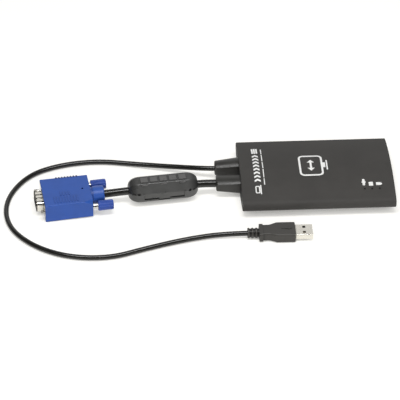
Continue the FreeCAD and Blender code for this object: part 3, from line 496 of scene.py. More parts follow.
class ADAPTER_OT_stage(Operator):
    """Set up the floor, the soft light and the camera"""

    bl_idname = "adapter.stage"
    bl_label = "Stage"

    floor_half = 4.0
    floor_drop = 0.0002
    floor_roughness = 0.9
    # How near a piece has to be for painted shade on the floor under it
    gap_reach = 0.012
    # The floor's glow between a hidden and an open sky, painted shade where the sky is hidden
    gap_range, gap_glow = (0.05, 0.35), (0.25, 1.0)
    # Directions, as parts of a unit vector, between which the room changes to backdrop, ceiling and sides
    backdrop_range = (0.0, 0.55)
    ceiling_range = (0.68, 0.86)
    sides_range = (0.25, 0.6)
    # Width and length of each lamp, and its place from the point that the camera looks at
    softbox_size, softbox_offset = (0.8, 0.28), (0.0, -0.2, 1.0)
    fill_size, fill_offset = (1.2, 0.7), (0.1, -1.4, 0.5)
    sensor_width = 36.0

    def execute(self, context):
        settings = context.scene.adapter_stage
        self.add_floor(settings)
        self.add_light(settings)
        self.add_camera(settings)
        context.scene.view_settings.view_transform = "Standard"
        return {"FINISHED"}

    def add_floor(self, settings):
        """A matt floor that glows to white for the camera and keeps the object's shadow."""
        half = self.floor_half
        bm = bmesh.new()
        corners = [(-half, -half), (half, -half), (half, half), (-half, half)]
        bm.faces.new([bm.verts.new((x, y, -self.floor_drop)) for x, y in corners])
        material, wiring, plain = new_material("Floor")
        matt = {"Roughness": self.floor_roughness, "Specular_IOR_Level": 0.0}
        wiring.feed(plain, Base_Color=(*settings.floor, 1.0), **matt)
        # Painted shadow: the floor's glow dims where pieces above hide the sky
        shelter = wiring.feed(wiring.add("AmbientOcclusion", samples=8), Distance=self.gap_reach)
        open_sky = wiring.spread(shelter.outputs["AO"], self.gap_range, self.gap_glow)
        glow = wiring.maths("MULTIPLY", open_sky, settings.white - settings.shadow)
        warm = Vector(settings.tint)
        seen = wiring.feed(
            wiring.add("BsdfPrincipled"), Base_Color=(*(warm * settings.shadow), 1.0),
            Emission_Color=(*warm, 1.0), Emission_Strength=glow, **matt)
        surface = material.node_tree.nodes["Material Output"].inputs["Surface"]
        wiring.choose(direct_sight(wiring), plain, seen, surface)
        mesh_object("floor", bm, material)

    def add_light(self, settings):
        """A pale wall behind, a dark room in front, and two lamps."""
        world = bpy.data.worlds.new("Studio")
        bpy.context.scene.world = world
        world.use_nodes = True
        wiring = Wiring(world.node_tree)
        nodes = world.node_tree.nodes
        split = wiring.add("SeparateXYZ")
        wiring.put(wiring.add("TexCoord").outputs["Generated"], split.inputs[0])
        walls = wiring.spread(split.outputs["Y"], self.backdrop_range, (settings.room, settings.backdrop))
        height = wiring.spread(split.outputs["Z"], self.ceiling_range, (1.0, settings.ceiling))
        aside = wiring.maths("ABSOLUTE", split.outputs["X"])
        width = wiring.spread(aside, self.sides_range, (1.0, settings.sides))
        strength = wiring.maths("MULTIPLY", wiring.maths("MULTIPLY", walls, height), width)
        room = wiring.feed(nodes["Background"], Color=WHITE, Strength=strength)
        white = wiring.feed(wiring.add("Background"), Color=WHITE, Strength=1.0)
        sight = wiring.add("LightPath").outputs["Is Camera Ray"]
        wiring.choose(sight, room, white, nodes["World Output"].inputs["Surface"])
        self.add_softbox("Softbox", settings.lamp, self.softbox_size, self.softbox_offset, settings)
        fill = self.add_softbox("Fill", settings.fill, self.fill_size, self.fill_offset, settings)
        fill.visible_glossy = False

    def add_softbox(self, name, power, size, offset, settings):
        """A flat soft lamp this far from the camera's target, turned to face it."""
        offset = Vector(offset)
        lamp = bpy.data.lights.new(name, "AREA")
        lamp.shape = "RECTANGLE"
        lamp.size, lamp.size_y = size
        lamp.energy = power
        softbox = bpy.data.objects.new(name, lamp)
        softbox.location = Vector(settings.target) + offset
        softbox.rotation_mode = "QUATERNION"
        softbox.rotation_quaternion = (-offset).to_track_quat("-Z", "Y")
        bpy.context.scene.collection.objects.link(softbox)
        return softbox

    def add_camera(self, settings):
        view = bpy.data.cameras.new("Camera")
        view.lens = settings.lens
        view.sensor_width = self.sensor_width
        camera = bpy.data.objects.new("Camera", view)
        flat = math.cos(settings.elevation)
        back = Vector((
            math.sin(settings.azimuth) * flat,
            -math.cos(settings.azimuth) * flat,
            math.sin(settings.elevation),
        ))
        camera.location = Vector(settings.target) + back * settings.distance
        camera.rotation_mode = "QUATERNION"
        level = (-back).to_track_quat("-Z", "Y")
        camera.rotation_quaternion = level @ Quaternion((0.0, 0.0, 1.0), settings.roll)
        bpy.context.scene.collection.objects.link(camera)
        bpy.context.scene.camera = camera


class ADAPTER_OT_cables(Operator):
    """Lay both cables along their routes"""

    bl_idname = "adapter.cables"
    bl_label = "Cables"

    steps_along = 16
    steps_round = 6

    def execute(self, context):
        settings = context.scene.adapter_cable
        jacket = make_finish(
            "Cable jacket", settings.jacket, roughness=0.2, grain=1800.0, depth=0.005, drift=120.0)
        video = self.lay("video_lead", VIDEO_ROUTE, settings.video_diameter, jacket)
        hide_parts("video_cable")
        data = self.lay("data_lead", DATA_ROUTE, settings.data_diameter, jacket)
        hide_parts("data_cable")
        return {"FINISHED"}

    def exit_of(self, route):
        return [CABLE_FACE * MM, route[0][1] * MM, route[0][2] * MM]

    def lay(self, name, route, diameter, material):
        """A round cable on a smooth line that the route's points steer."""
        curve = bpy.data.curves.new(name, "CURVE")
        curve.dimensions = "3D"
        curve.resolution_u = self.steps_along
        curve.bevel_depth = diameter / 2
        curve.bevel_resolution = self.steps_round
        curve.use_fill_caps = True
        spline = curve.splines.new("NURBS")
        spline.points.add(len(route) - 1)
        for point, place in zip(spline.points, route):
            point.co = (*(Vector(place) * MM), 1.0)
        spline.order_u = 3
        spline.use_endpoint_u = True
        cable = add_object(name, curve, material)
        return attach(cable, "root")


class ADAPTER_OT_case(Operator):
    """Finish the sleeve, the end plates and their screws"""

    bl_idname = "adapter.case"
    bl_label = "Case"

    def execute(self, context):
        settings = context.scene.adapter_case
        coat = make_finish(
            "Anodised coat", settings.coat, settings.coat_roughness, grain=2600.0, depth=0.01, drift=45.0,
            tone=0.12, gloss_swing=0.05, specular=0.3, wear=(0.09, 0.088, 0.085), wear_width=0.3,
            wear_amount=0.05, lines=0.6)
        dress(coat, "case_sleeve")
        plate = make_finish(
            "End plate plastic", settings.plate, roughness=0.68, grain=1700.0, depth=0.02, specular=0.25)
        dress(plate, "cable_end_plate", "port_end_plate")
        steel = make_finish(
            "Blackened screw steel", (0.05, 0.05, 0.052), roughness=0.42, grain=3000.0, depth=0.006,
            metallic=1.0, tone=0.1, wear=(0.12, 0.12, 0.12), wear_amount=0.3)
        dress(steel, "cable_end_screws", "port_end_screws")
        return {"FINISHED"}


class Crown:
    """The case's curved top, for laying print on it. Lengths are metres."""

    def __init__(self, side_radius):
        low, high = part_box("case_sleeve")
        middle = (low.z + high.z) / 2
        rise = high.z - middle
        reach = (high.y - low.y) / 2 - side_radius
        self.top = high.z
        self.radius = (reach ** 2 + rise ** 2 - side_radius ** 2) / (2 * (rise - side_radius))

    def height(self, y):
        return self.top - self.radius + math.sqrt(self.radius ** 2 - y ** 2)


class Print:
    """Shapes in reading millimetres, u along the line and v up it, laid on the crown in one mesh.

    A box is given as its lowest and highest u, then its lowest and highest v.
    """

    step = 1.2
    # A line's corner reaches out by no more than half its width over this
    mitre_limit = 0.3

    def __init__(self, crown, ink_height):
        self.bm = bmesh.new()
        self.crown = crown
        self.ink_height = ink_height
        self.origin = (0.0, 0.0)

    def vertex(self, u, v):
        x = (self.origin[0] - v) * MM
        y = (self.origin[1] + u) * MM
        return self.bm.verts.new((x, y, self.crown.height(y) + self.ink_height))

    def field(self, outline):
        """A filled shape, narrow enough to lie on the crown as one face."""
        self.bm.faces.new([self.vertex(u, v) for u, v in outline])

    def bar(self, u0, u1, v0, v1):
        """A filled rectangle in short lengths, so that it follows the crown."""
        count = max(1, math.ceil((u1 - u0) / self.step))
        edges = [u0 + (u1 - u0) * i / count for i in range(count + 1)]
        rows = [(self.vertex(u, v0), self.vertex(u, v1)) for u in edges]
        for (a, b), (c, d) in zip(rows, rows[1:]):
            self.bm.faces.new((a, c, d, b))

    def ring(self, outline, width):
        """A closed line of even width along an outline given anticlockwise."""
        path = self.divided(outline)
        count = len(path)
        rows = []
        for i in range(count):
            before, here, after = path[i - 1], path[i], path[(i + 1) % count]
            first = (here - before).normalized()
            second = (after - here).normalized()
            side = Vector((-(first + second).y, (first + second).x)).normalized()
            side *= width / 2 / max(self.mitre_limit, side.dot(Vector((-first.y, first.x))))
            rows.append((self.vertex(*(here + side)), self.vertex(*(here - side))))
        for (a, b), (c, d) in zip(rows, rows[1:] + rows[:1]):
            self.bm.faces.new((a, b, d, c))

    def divided(self, outline):
        """The outline's points, with more between those that lie far apart."""
        points = []
        for start, end in zip(outline, outline[1:] + outline[:1]):
            a, b = Vector(start), Vector(end)
            count = max(1, math.ceil((b - a).length / self.step))
            points += [a.lerp(b, i / count) for i in range(count)]
        return points


def rounded_box(u0, u1, v0, v1, radius, steps=6):
    """Outline of a rectangle with round corners, anticlockwise."""
    corners = [(u1, v0, -90), (u1, v1, 0), (u0, v1, 90), (u0, v0, 180)]
    outline = []
    for u, v, start in corners:
        cu = u - radius if u == u1 else u + radius
        cv = v - radius if v == v1 else v + radius
        for i in range(steps + 1):
            angle = math.radians(start + 90 * i / steps)
            outline.append((cu + radius * math.cos(angle), cv + radius * math.sin(angle)))
    return outline


class ADAPTER_OT_print(Operator):
    """Print the signs on top of the case"""

    bl_idname = "adapter.case_print"
    bl_label = "Case print"

    def execute(self, context):
        settings = context.scene.adapter_case
        crown = Crown(settings.side_radius)
        ink = make_finish(
            "White ink", settings.ink, roughness=0.55, grain=3500.0, depth=0.006, drift=300.0, tone=0.04,
            gloss_swing=0.05)
        for name, draw in (
            ("screen_sign", self.draw_screen),
            ("link_row", self.draw_link_row),
            ("status_signs", self.draw_status),
        ):
            sheet = Print(crown, settings.ink_height)
            draw(sheet)
            piece = mesh_object(name, sheet.bm, ink)
            body = piece.modifiers.new("Ink body", "SOLIDIFY")
            body.thickness = settings.ink_height + settings.ink_root
            body.offset = -1.0
            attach(piece, "root")
        return {"FINISHED"}

    def draw_screen(self, sheet):
        """A screen on its stand, with a two-way arrow on it."""
        line, half_u, half_v, corner = 1.5, 12.1, 9.1, 3.7
        stem, foot = (-2.9, 2.9, -10.9, -9.0), (-5.7, 5.7, -12.6, -11.6)
        tip, neck, shaft, head = 6.6, 3.2, 0.75, 2.7
        sheet.origin = (-3.5, 0.0)
        u, v = half_u - line / 2, half_v - line / 2
        sheet.ring(rounded_box(-u, u, -v, v, corner - line / 2), line)
        sheet.bar(*stem)
        sheet.bar(*foot)
        sheet.bar(-neck, neck, -shaft, shaft)
        arrow = [(tip, 0.0), (neck, head), (neck, shaft), (neck, -shaft), (neck, -head)]
        for sign in (1, -1):
            sheet.field([(sign * u, v) for u, v in arrow])

    def draw_link_row(self, sheet):
        """A laptop, a run of arrows and a server, over a thin broken line."""
        half = 2.3
        screen, corner, line = (-27.9, -21.6, -0.8, 1.9), 0.6, 0.9
        base = (-29.2, -20.3, -half, -1.4)
        count, start, pitch, width, tip = 8, -17.2, 4.1, 2.0, 1.6
        left, right, levels, level_height = 17.0, 24.0, (-half, -0.65, 1.0), 1.3
        dashes = ((-20.0, -13.5), (-12.4, -3.0), (-1.9, 5.5), (6.6, 15.0), (16.1, 23.0))
        dash_low, dash_top = -5.3, -4.6
        sheet.origin = (-44.9, 0.0)
        sheet.ring(rounded_box(*screen, corner, steps=3), line)
        sheet.bar(*base)
        for i in range(count):
            u = start + i * pitch
            sheet.field([(u, half), (u + width, half), (u + width + tip, 0.0), (u + tip, 0.0)])
            sheet.field([(u + tip, 0.0), (u + width + tip, 0.0), (u + width, -half), (u, -half)])
        for v in levels:
            sheet.bar(left, right, v, v + level_height)
        for u0, u1 in dashes:
            sheet.bar(u0, u1, dash_low, dash_top)

    def draw_status(self, sheet):
        """A lamp, a screen and a plug beside the three lamp windows."""
        bulb, stem = (-3.2, 3.2, -1.0, 1.0), (-0.6, 0.6, -1.5, 1.5)
        screen = (-1.9, 1.9, -1.7, 1.7)
        plug = [(-1.35, 2.2), (-1.35, -1.1), (-0.5, -2.3), (0.5, -2.3), (1.35, -1.1), (1.35, 2.2)]
        sheet.origin = (34.4, -20.4)
        sheet.field(rounded_box(*bulb, radius=0.95, steps=5))
        sheet.bar(*stem)
        sheet.origin = (39.7, -22.2)
        sheet.field(rounded_box(*screen, radius=0.5, steps=3))
        sheet.origin = (45.8, -22.4)
        sheet.field(plug)


class ADAPTER_OT_inside(Operator):
    """Finish the board, its chips, headers, wires and lamps, and the light guide"""

    bl_idname = "adapter.inside"
    bl_label = "Board and lamps"

    def execute(self, context):
        mask = make_finish("Solder mask", (0.012, 0.09, 0.035), roughness=0.35, grain=900.0, tone=0.3)
        dress(mask, "circuit_board")
        chip = make_finish("Chip resin", (0.02, 0.02, 0.021), roughness=0.6, grain=4000.0, depth=0.015)
        dress(chip, "converter_chip", "memory_chip", "hub_chip")
        nylon = make_finish("Header nylon", (0.78, 0.76, 0.7), roughness=0.45, tone=0.05)
        dress(nylon, "data_board_header", "video_board_header")
        wire = make_finish("Wire sleeve", (0.3, 0.3, 0.31), roughness=0.4, tone=0.1)
        dress(wire, "data_wires", "video_wires")
        dress(make_clear("Lamp lens", (0.8, 0.85, 0.75), roughness=0.12), "status_lamps")
        dress(make_clear("Light guide", (0.06, 0.06, 0.06), roughness=0.2), "light_guide")
        return {"FINISHED"}


class ADAPTER_OT_socket(Operator):
    """Finish the link socket in the port end"""

    bl_idname = "adapter.link_socket"
    bl_label = "Link socket"

    def execute(self, context):
        shell = make_finish(
            "Socket plating", (0.72, 0.71, 0.68), roughness=0.3, depth=0.005, metallic=1.0, tone=0.08)
        dress(shell, "link_socket_shell")
        dress(make_finish("Socket insert", (0.02, 0.02, 0.02), roughness=0.5), "link_socket_tongue")
        dress(make_gold("Socket gold"), "link_socket_contacts")
        return {"FINISHED"}


class ADAPTER_OT_boots(Operator):
    """Loft the cable boots: an arched top that meets flat sides at a crease"""

    bl_idname = "adapter.boots"
    bl_label = "Cable boots"

    length = 18.2
    axis_height = 9.0
    arch = 1.9
    foot_radius = 2.0
    tip_radius = 1.2
    bore_gap = 0.08
    # Sides of the square neck and flange inside the case, and how far in each ends
    neck, neck_end = 8.6, 2.5
    flange, flange_end = 11.6, 4.3
    foot_steps = 5
    arch_steps = 12
    tip_steps = 4
    video_base = {"half": 5.6, "crease": 4.11, "foot": -5.8, "lean": 1.21}
    video_end = {"half": 6.05, "crease": 3.67, "foot": -3.3, "lean": 0.59}
    data_base = {"half": 5.8, "crease": 4.98, "foot": -5.6, "lean": 1.21}
    data_end = {"half": 4.7, "crease": 3.43, "foot": -4.1, "lean": 0.59}

    def execute(self, context):
        settings = context.scene.adapter_cable
        rubber = make_finish(
            "Boot rubber", settings.boot, roughness=0.38, grain=1600.0, depth=0.014, tone=0.15, specular=0.4)
        for name, route, diameter, base, end, outward in (
            ("video", VIDEO_ROUTE, settings.video_diameter, self.video_base, self.video_end, -1),
            ("data", DATA_ROUTE, settings.data_diameter, self.data_base, self.data_end, 1),
        ):
            bm = bmesh.new()
            self.loft(bm, route[0][1], diameter / MM / 2 + self.bore_gap, base, end, outward)
            boot = mesh_object(name + "_boot", bm, rubber)
            smooth(boot)
            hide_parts(name + "_cable_boot")
            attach(boot, "root")
        return {"FINISHED"}

    def loft(self, bm, side, bore, base, end, outward):
        """Rings from the flange inside the case out to the tip, then back along the bore."""
        lean = outward * base["lean"]
        shape = self.section(base, outward)
        plain = [(y - lean, z) for y, z in shape]
        flange, neck = self.fitted(plain, self.flange), self.fitted(plain, self.neck)
        rows = [
            (self.flange_end, flange),
            (self.neck_end, flange),
            (self.neck_end, neck),
            (0.0, neck),
            (0.0, shape),
        ]
        last = self.section(end, outward)
        straight = self.length - self.tip_radius
        share = straight / self.length
        body = [(a[0] + (b[0] - a[0]) * share, a[1] + (b[1] - a[1]) * share) for a, b in zip(shape, last)]
        middle = Vector((outward * end["lean"], 0.0))
        for i in range(self.tip_steps + 1):
            angle = math.radians(90 * i / self.tip_steps)
            scale = 1 - self.tip_radius / end["half"] * (1 - math.cos(angle))
            ring = [tuple(middle + (Vector(p) - middle) * scale) for p in body]
            rows.append((-straight - self.tip_radius * math.sin(angle), ring))
        around = [math.atan2(z, y) for y, z in plain]
        hole = [(bore * math.cos(a), bore * math.sin(a)) for a in around]
        rows += [(-self.length, hole), (self.flange_end, hole)]
        rings = []
        for x, ring in rows:
            place = [(CABLE_FACE + x, side + y, self.axis_height + z) for y, z in ring]
            rings.append([bm.verts.new(Vector(p) * MM) for p in place])
        bridge(bm, rings + rings[:1])

    def section(self, form, outward):
        """Outline round the axis: near foot, near crease, arch, far crease, far foot."""
        half, crease, foot, radius = form["half"], form["crease"], form["foot"], self.foot_radius
        lean = outward * form["lean"]
        steps = [math.radians(90 * i / self.foot_steps) for i in range(self.foot_steps + 1)]
        near = [(-half + radius - radius * math.sin(a), foot + radius - radius * math.cos(a)) for a in steps]
        curve = (half ** 2 + self.arch ** 2) / (2 * self.arch)
        reach = math.asin(half / curve)
        arch = []
        for i in range(self.arch_steps + 1):
            angle = -reach + 2 * reach * i / self.arch_steps
            arch.append((curve * math.sin(angle), crease + self.arch - curve + curve * math.cos(angle)))
        far = [(-y, z) for y, z in reversed(near)]
        return [(y + lean, z) for y, z in near + arch + far]

    def fitted(self, outline, size):
        """The outline stretched to a square of this size round the axis."""
        low = [min(p[i] for p in outline) for i in (0, 1)]
        high = [max(p[i] for p in outline) for i in (0, 1)]
        return [tuple(((p[i] - low[i]) / (high[i] - low[i]) - 0.5) * size for i in (0, 1)) for p in outline]


class ADAPTER_OT_ferrite(Operator):
    """Finish the clip-on ferrite"""

    bl_idname = "adapter.ferrite"
    bl_label = "Ferrite clip"

    # From the cable's bend just outside the clip to the clip's middle, and from there out to a facet
    from_bend = 28.1
    half_across = 9.5
    # Directions of the two facets with tiles, in degrees round the cable
    raised_facets = (97.5, 142.5)
    # How far above its facet a tile's painted highlight starts and is full
    raised_range = (0.1, 0.2)
    # How far from the middle an end's painted shade starts and is full, and how strong it is
    cap_range, cap_shade = (20.0, 24.5), 0.75

    def execute(self, context):
        settings = context.scene.adapter_cable
        # Painted shade: the case is coloured near black in its seams and holes
        case = make_finish(
            "Ferrite case plastic", settings.ferrite, roughness=0.3, grain=1500.0, depth=0.018, tone=0.15,
            wear=(0.12, 0.12, 0.12), wear_amount=0.3, painted_shade=(0.012, 0.012, 0.012), painted_shade_reach=1.2,
            painted_shade_amount=0.9)
        # Painted highlight on the raised tiles
        tint_where(case, self.raised_mask, settings.polished)
        # Painted shade: the domed ends are coloured darker
        tint_where(case, self.cap_mask, (0.02, 0.02, 0.0195))
        dress(case, "ferrite_upper_case", "ferrite_lower_case")
        core = make_finish(
            "Ferrite ceramic", (0.045, 0.045, 0.047), roughness=0.62, grain=1200.0, depth=0.03, tone=0.3)
        dress(core, "ferrite_upper_core", "ferrite_lower_core")
        return {"FINISHED"}

    def axis(self):
        """The clip's direction along the cable, and its middle."""
        bend, end = Vector(VIDEO_ROUTE[3]), Vector(VIDEO_ROUTE[4])
        along = (bend - end).normalized()
        return along, (bend - along * self.from_bend) * MM

    def cap_mask(self, wiring, place):
        """The domed ends, painted darker as shade."""
        along, centre = self.axis()
        reach = wiring.maths("ABSOLUTE", wiring.distance(place, along, centre))
        return wiring.spread(reach, metres(*self.cap_range), (0.0, self.cap_shade))

    def raised_mask(self, wiring, place):
        """The tiles and lugs that stand up from two of the case's facets, where a highlight is painted."""
        along, centre = self.axis()
        mask = None
        for degrees in self.raised_facets:
            angle = math.radians(degrees)
            outward = Vector((-along.y * math.cos(angle), along.x * math.cos(angle), math.sin(angle)))
            proud = wiring.distance(place, outward, centre + outward * self.half_across * MM)
            raised = wiring.spread(proud, metres(*self.raised_range))
            mask = wiring.maths("MAXIMUM", mask, raised) if mask else raised
        return mask


class ADAPTER_OT_video_plug(Operator):
    """Finish the video plug's hood, shell, insulator and pins"""

    bl_idname = "adapter.video_plug"
    bl_label = "Video plug"

    half_width = 16.15
    half_height = 7.7
    rib_count = 8
    rib_pitch = 2.2
    rib_centre = 2.2
    rib_width = 1.1
    rib_reach = 0.6
    rib_root = 1.4
    rib_rise = 0.05
    rib_height = 0.7
    rib_soft, rib_soft_steps = 0.1, 3
    rib_shade = 0.2
    shell_front = -23.6
    rim_width, rim_edge = 0.7, 0.1
    dent_pitch = 4.1
    dent_half, dent_edge = 0.8, 0.3

    def execute(self, context):
        settings = context.scene.adapter_plug
        # Painted shade: the hood is coloured dark navy in its corners and hollows
        hood = make_finish(
            "Hood plastic", settings.hood, roughness=0.4, grain=1500.0, depth=0.02, drift=70.0, tone=0.06,
            specular=0.4, wear=(0.1, 0.2, 0.55), wear_amount=0.3, painted_shade=(0.006, 0.012, 0.07),
            painted_shade_reach=2.0, painted_shade_amount=0.35)
        dress(hood, "video_plug_hood")
        self.add_ribs(settings)
        plating = make_plating("Video shell plating", settings.shell, roughness=0.17)
        # Painted shade and reflection: the skirt's dents and the front rim are coloured darker
        tint_where(plating, self.dent_shade_mask, (0.1, 0.096, 0.085))
        dress(plating, "video_plug_shell")
        dress(make_finish("Insert plastic", (0.03, 0.07, 0.26), roughness=0.45), "video_plug_insulator")
        dress(make_gold("Pin gold"), "video_plug_pins")
        return {"FINISHED"}

    def add_ribs(self, settings):
        """Dark caps on the finger ribs, where they wrap over the hood's far top edge: painted shade round the
        ribs.
        """
        # Painted shade: the caps take a darker copy of the hood's colour
        plastic = make_finish(
            "Hood finger ribs", [c * self.rib_shade for c in settings.hood], roughness=0.45, grain=1500.0,
            depth=0.02, tone=0.1, specular=0.3)
        bm = bmesh.new()
        depth = self.rib_root + self.rib_reach
        size = Matrix.Diagonal((self.rib_width, depth, self.rib_height, 1.0))
        v = self.half_width - self.rib_root + depth / 2
        w = self.half_height + self.rib_rise - self.rib_height / 2
        for i in range(self.rib_count):
            u = self.rib_centre + (i - (self.rib_count - 1) / 2) * self.rib_pitch
            bmesh.ops.create_cube(bm, size=1.0, matrix=Matrix.Translation((u, v, w)) @ size)
        bmesh.ops.transform(bm, matrix=VIDEO_PLUG @ Matrix.Scale(MM, 4), verts=bm.verts)
        ribs = mesh_object("hood_finger_ribs", bm, plastic)
        soften(ribs, self.rib_soft, self.rib_soft_steps)
        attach(ribs, "root")

    def dent_shade_mask(self, wiring, place):
        """The dents along the shell's skirt, and its front rim, with painted shade and dark reflection."""
        turn, middle = VIDEO_PLUG.to_3x3(), VIDEO_PLUG.translation
        along, across = turn @ LENGTHWISE, turn @ SIDEWAYS
        half = self.dent_pitch / 2
        wave = wiring.maths("PINGPONG", wiring.distance(place, across, middle), half * MM)
        start = half - self.dent_half
        dents = wiring.spread(wave, metres(start, start + self.dent_edge))
        rim = wiring.distance(place, along, middle + along * (self.shell_front + self.rim_width) * MM)
        return wiring.maths("MAXIMUM", dents, wiring.spread(rim, metres(self.rim_edge, -self.rim_edge)))


class ADAPTER_OT_thumbscrews(Operator):
    """Turn the threaded steel screws and finish their knobs"""

    bl_idname = "adapter.thumbscrews"
    bl_label = "Thumbscrews"

    thread_back = -18.4
    thread_length = 2.6
    thread_radius = 1.42
    thread_depth = 0.3
    neck_radius = 1.1
    shank_front = -5.1
    shank_radius = 2.2
    shank_chamfer = 0.2
    shank_end = 27.9
    around = 32
    rows_per_turn = 8

    def execute(self, context):
        settings = context.scene.adapter_plug
        steel = make_finish(
            "Thumbscrew steel", (0.62, 0.61, 0.58), roughness=0.26, grain=2600.0, depth=0.006, metallic=1.0,
            tone=0.08)
        for name, side, push in (("near", -SCREW_SIDE, 0.0), ("far", SCREW_SIDE, FAR_SCREW_PUSH)):
            bm = bmesh.new()
            self.turn(bm, settings.thread_pitch / MM)
            place = VIDEO_PLUG @ Matrix.Translation(Vector((-push, side, 0.0)) * MM) @ Matrix.Scale(MM, 4)
            bmesh.ops.transform(bm, matrix=place, verts=bm.verts)
            screw = mesh_object(name + "_screw_steel", bm, steel)
            smooth(screw)
            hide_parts(name + "_thumbscrew")
            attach(screw, name + "_screw")
        knob = make_finish(
            "Knob plastic", settings.knob, roughness=0.36, grain=1500.0, depth=0.015, tone=0.08,
            specular=0.45, wear=(0.08, 0.16, 0.5), wear_amount=0.3)
        dress(knob, "near_thumbscrew_knob", "far_thumbscrew_knob")
        return {"FINISHED"}

    def turn(self, bm, pitch):
        """Rings along X: a helical thread, the captive neck and the shank."""
        tip = self.thread_back - self.thread_length
        rings = [self.ring(bm, tip, lambda a: self.neck_radius)]
        count = round(self.thread_length / pitch * self.rows_per_turn)
        for i in range(count + 1):
            along = self.thread_length * i / count
            rings.append(self.ring(bm, tip + along, lambda a: self.thread_at(along / pitch - a)))
        profile = [
            (self.thread_back, self.neck_radius),
            (self.shank_front, self.neck_radius),
            (self.shank_front, self.shank_radius - self.shank_chamfer),
            (self.shank_front + self.shank_chamfer, self.shank_radius),
            (self.shank_end, self.shank_radius),
        ]
        for x, radius in profile:
            rings.append(self.ring(bm, x, lambda a: radius))
        bridge(bm, rings)
        bm.faces.new(rings[0])
        bm.faces.new(reversed(rings[-1]))

    def thread_at(self, turns):
        """Radius on the thread: a V between root and crest."""
        wave = abs(2 * (turns % 1.0) - 1)
        return self.thread_radius - self.thread_depth * wave

    def ring(self, bm, x, radius_at):
        verts = []
        for i in range(self.around):
            share = i / self.around
            radius = radius_at(share)
            angle = 2 * math.pi * share
            verts.append(bm.verts.new((x, radius * math.cos(angle), radius * math.sin(angle))))
        return verts


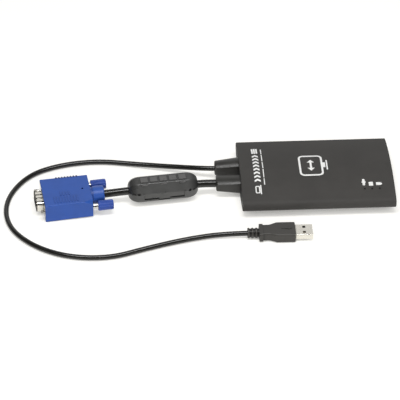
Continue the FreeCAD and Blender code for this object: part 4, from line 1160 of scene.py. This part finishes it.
class ADAPTER_OT_data_plug(Operator):
    """Finish the data plug and raise the arrow on its grip"""

    bl_idname = "adapter.data_plug"
    bl_label = "Data plug"

    grip_top = 3.9
    arrow_relief = 0.3
    arrow_root = 0.4
    arrow_soft, arrow_soft_steps = 0.12, 2
    arrow_shaft, arrow_head = 0.55, 1.7
    arrow_tail, arrow_neck, arrow_tip = -10.2, -5.2, -2.6
    relief_end = -35.4
    relief_start = -26.8
    ring_count = 3
    ring_length = 1.5
    # Where the gaps' shade starts and where it is full, past a ring's end and behind the grip
    ring_edge = (-0.05, 0.1)
    grip_edge = (-0.02, -0.08)

    def execute(self, context):
        settings = context.scene.adapter_plug
        # Painted shade: the overmould is coloured darker in its hollows and ring gaps
        overmould = make_finish(
            "Overmould vinyl", settings.overmould, roughness=0.46, grain=1500.0, depth=0.02, tone=0.12,
            specular=0.4, wear=(0.1, 0.098, 0.094), wear_amount=0.05, painted_shade=(0.01, 0.009, 0.008),
            painted_shade_reach=3.0, painted_shade_amount=0.95)
        tint_where(overmould, self.gap_mask, (0.006, 0.0055, 0.005))
        dress(overmould, "data_plug_overmould")
        self.add_arrow(overmould)
        dress(make_plating("Data shell plating", settings.shell, roughness=0.27), "data_plug_shell")
        dress(make_finish("Tongue nylon", (0.02, 0.02, 0.02), roughness=0.4, tone=0.1), "data_plug_tongue")
        dress(make_gold("Contact gold"), "data_plug_contacts")
        return {"FINISHED"}

    def gap_mask(self, wiring, place):
        """The shaded gaps between the rings of the strain relief."""
        along, front = DATA_PLUG.to_3x3() @ LENGTHWISE, DATA_PLUG.translation
        half_ring = self.ring_length / 2
        first = front + along * (self.relief_end + half_ring) * MM
        half_pitch = (self.relief_start - self.relief_end) / self.ring_count / 2
        wave = wiring.maths("PINGPONG", wiring.distance(place, along, first), half_pitch * MM)
        gaps = wiring.spread(wave, metres(*(half_ring + edge for edge in self.ring_edge)))
        behind = wiring.distance(place, along, front + along * self.relief_start * MM)
        return wiring.maths("MULTIPLY", gaps, wiring.spread(behind, metres(*self.grip_edge)))

    def add_arrow(self, material):
        """The raised arrow, which points to the metal shell."""
        shaft, head, neck, tail = self.arrow_shaft, self.arrow_head, self.arrow_neck, self.arrow_tail
        outline = [
            (tail, -shaft), (neck, -shaft), (neck, -head), (self.arrow_tip, 0.0), (neck, head), (neck, shaft),
            (tail, shaft),
        ]
        bm = bmesh.new()
        heights = (self.grip_top - self.arrow_root, self.grip_top + self.arrow_relief)
        rings = [[bm.verts.new((x, y, z)) for x, y in outline] for z in heights]
        bridge(bm, rings)
        for ring in rings:
            bm.faces.new(ring)
        bmesh.ops.transform(bm, matrix=DATA_PLUG @ Matrix.Scale(MM, 4), verts=bm.verts)
        arrow = mesh_object("data_plug_arrow", bm, material)
        soften(arrow, self.arrow_soft, self.arrow_soft_steps)
        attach(arrow, "root")


class ADAPTER_PT_panel(Panel):
    """Lists the adapter's pieces and their settings"""

    bl_idname = "ADAPTER_PT_panel"
    bl_label = "Crash cart adapter"
    bl_space_type = "VIEW_3D"
    bl_region_type = "UI"
    bl_category = "Adapter"

    def draw(self, context):
        for operator in OPERATORS:
            self.layout.operator(operator.bl_idname)
        for holder in SETTINGS:
            settings = getattr(context.scene, holder)
            box = self.layout.box()
            for name in settings.__annotations__:
                box.prop(settings, name)


SETTINGS = {
    "adapter_case": CaseSettings,
    "adapter_cable": CableSettings,
    "adapter_plug": PlugSettings,
    "adapter_stage": StageSettings,
}
OPERATORS = [
    ADAPTER_OT_groups,
    ADAPTER_OT_stage,
    ADAPTER_OT_case,
    ADAPTER_OT_print,
    ADAPTER_OT_inside,
    ADAPTER_OT_socket,
    ADAPTER_OT_boots,
    ADAPTER_OT_ferrite,
    ADAPTER_OT_video_plug,
    ADAPTER_OT_thumbscrews,
    ADAPTER_OT_data_plug,
    ADAPTER_OT_cables,
]


def register():
    for holder, group in SETTINGS.items():
        bpy.utils.register_class(group)
        setattr(bpy.types.Scene, holder, PointerProperty(type=group))
    for operator in OPERATORS:
        bpy.utils.register_class(operator)
    bpy.utils.register_class(ADAPTER_PT_panel)


def unregister():
    bpy.utils.unregister_class(ADAPTER_PT_panel)
    for operator in reversed(OPERATORS):
        bpy.utils.unregister_class(operator)
    for holder, group in SETTINGS.items():
        delattr(bpy.types.Scene, holder)
        bpy.utils.unregister_class(group)


def main():
    register()
    bpy.ops.adapter.groups()
    bpy.ops.adapter.stage()
    bpy.ops.adapter.case()
    bpy.ops.adapter.case_print()
    bpy.ops.adapter.inside()
    bpy.ops.adapter.link_socket()
    bpy.ops.adapter.boots()
    bpy.ops.adapter.ferrite()
    bpy.ops.adapter.video_plug()
    bpy.ops.adapter.thumbscrews()
    bpy.ops.adapter.data_plug()
    bpy.ops.adapter.cables()


if __name__ == "__main__":
    main()
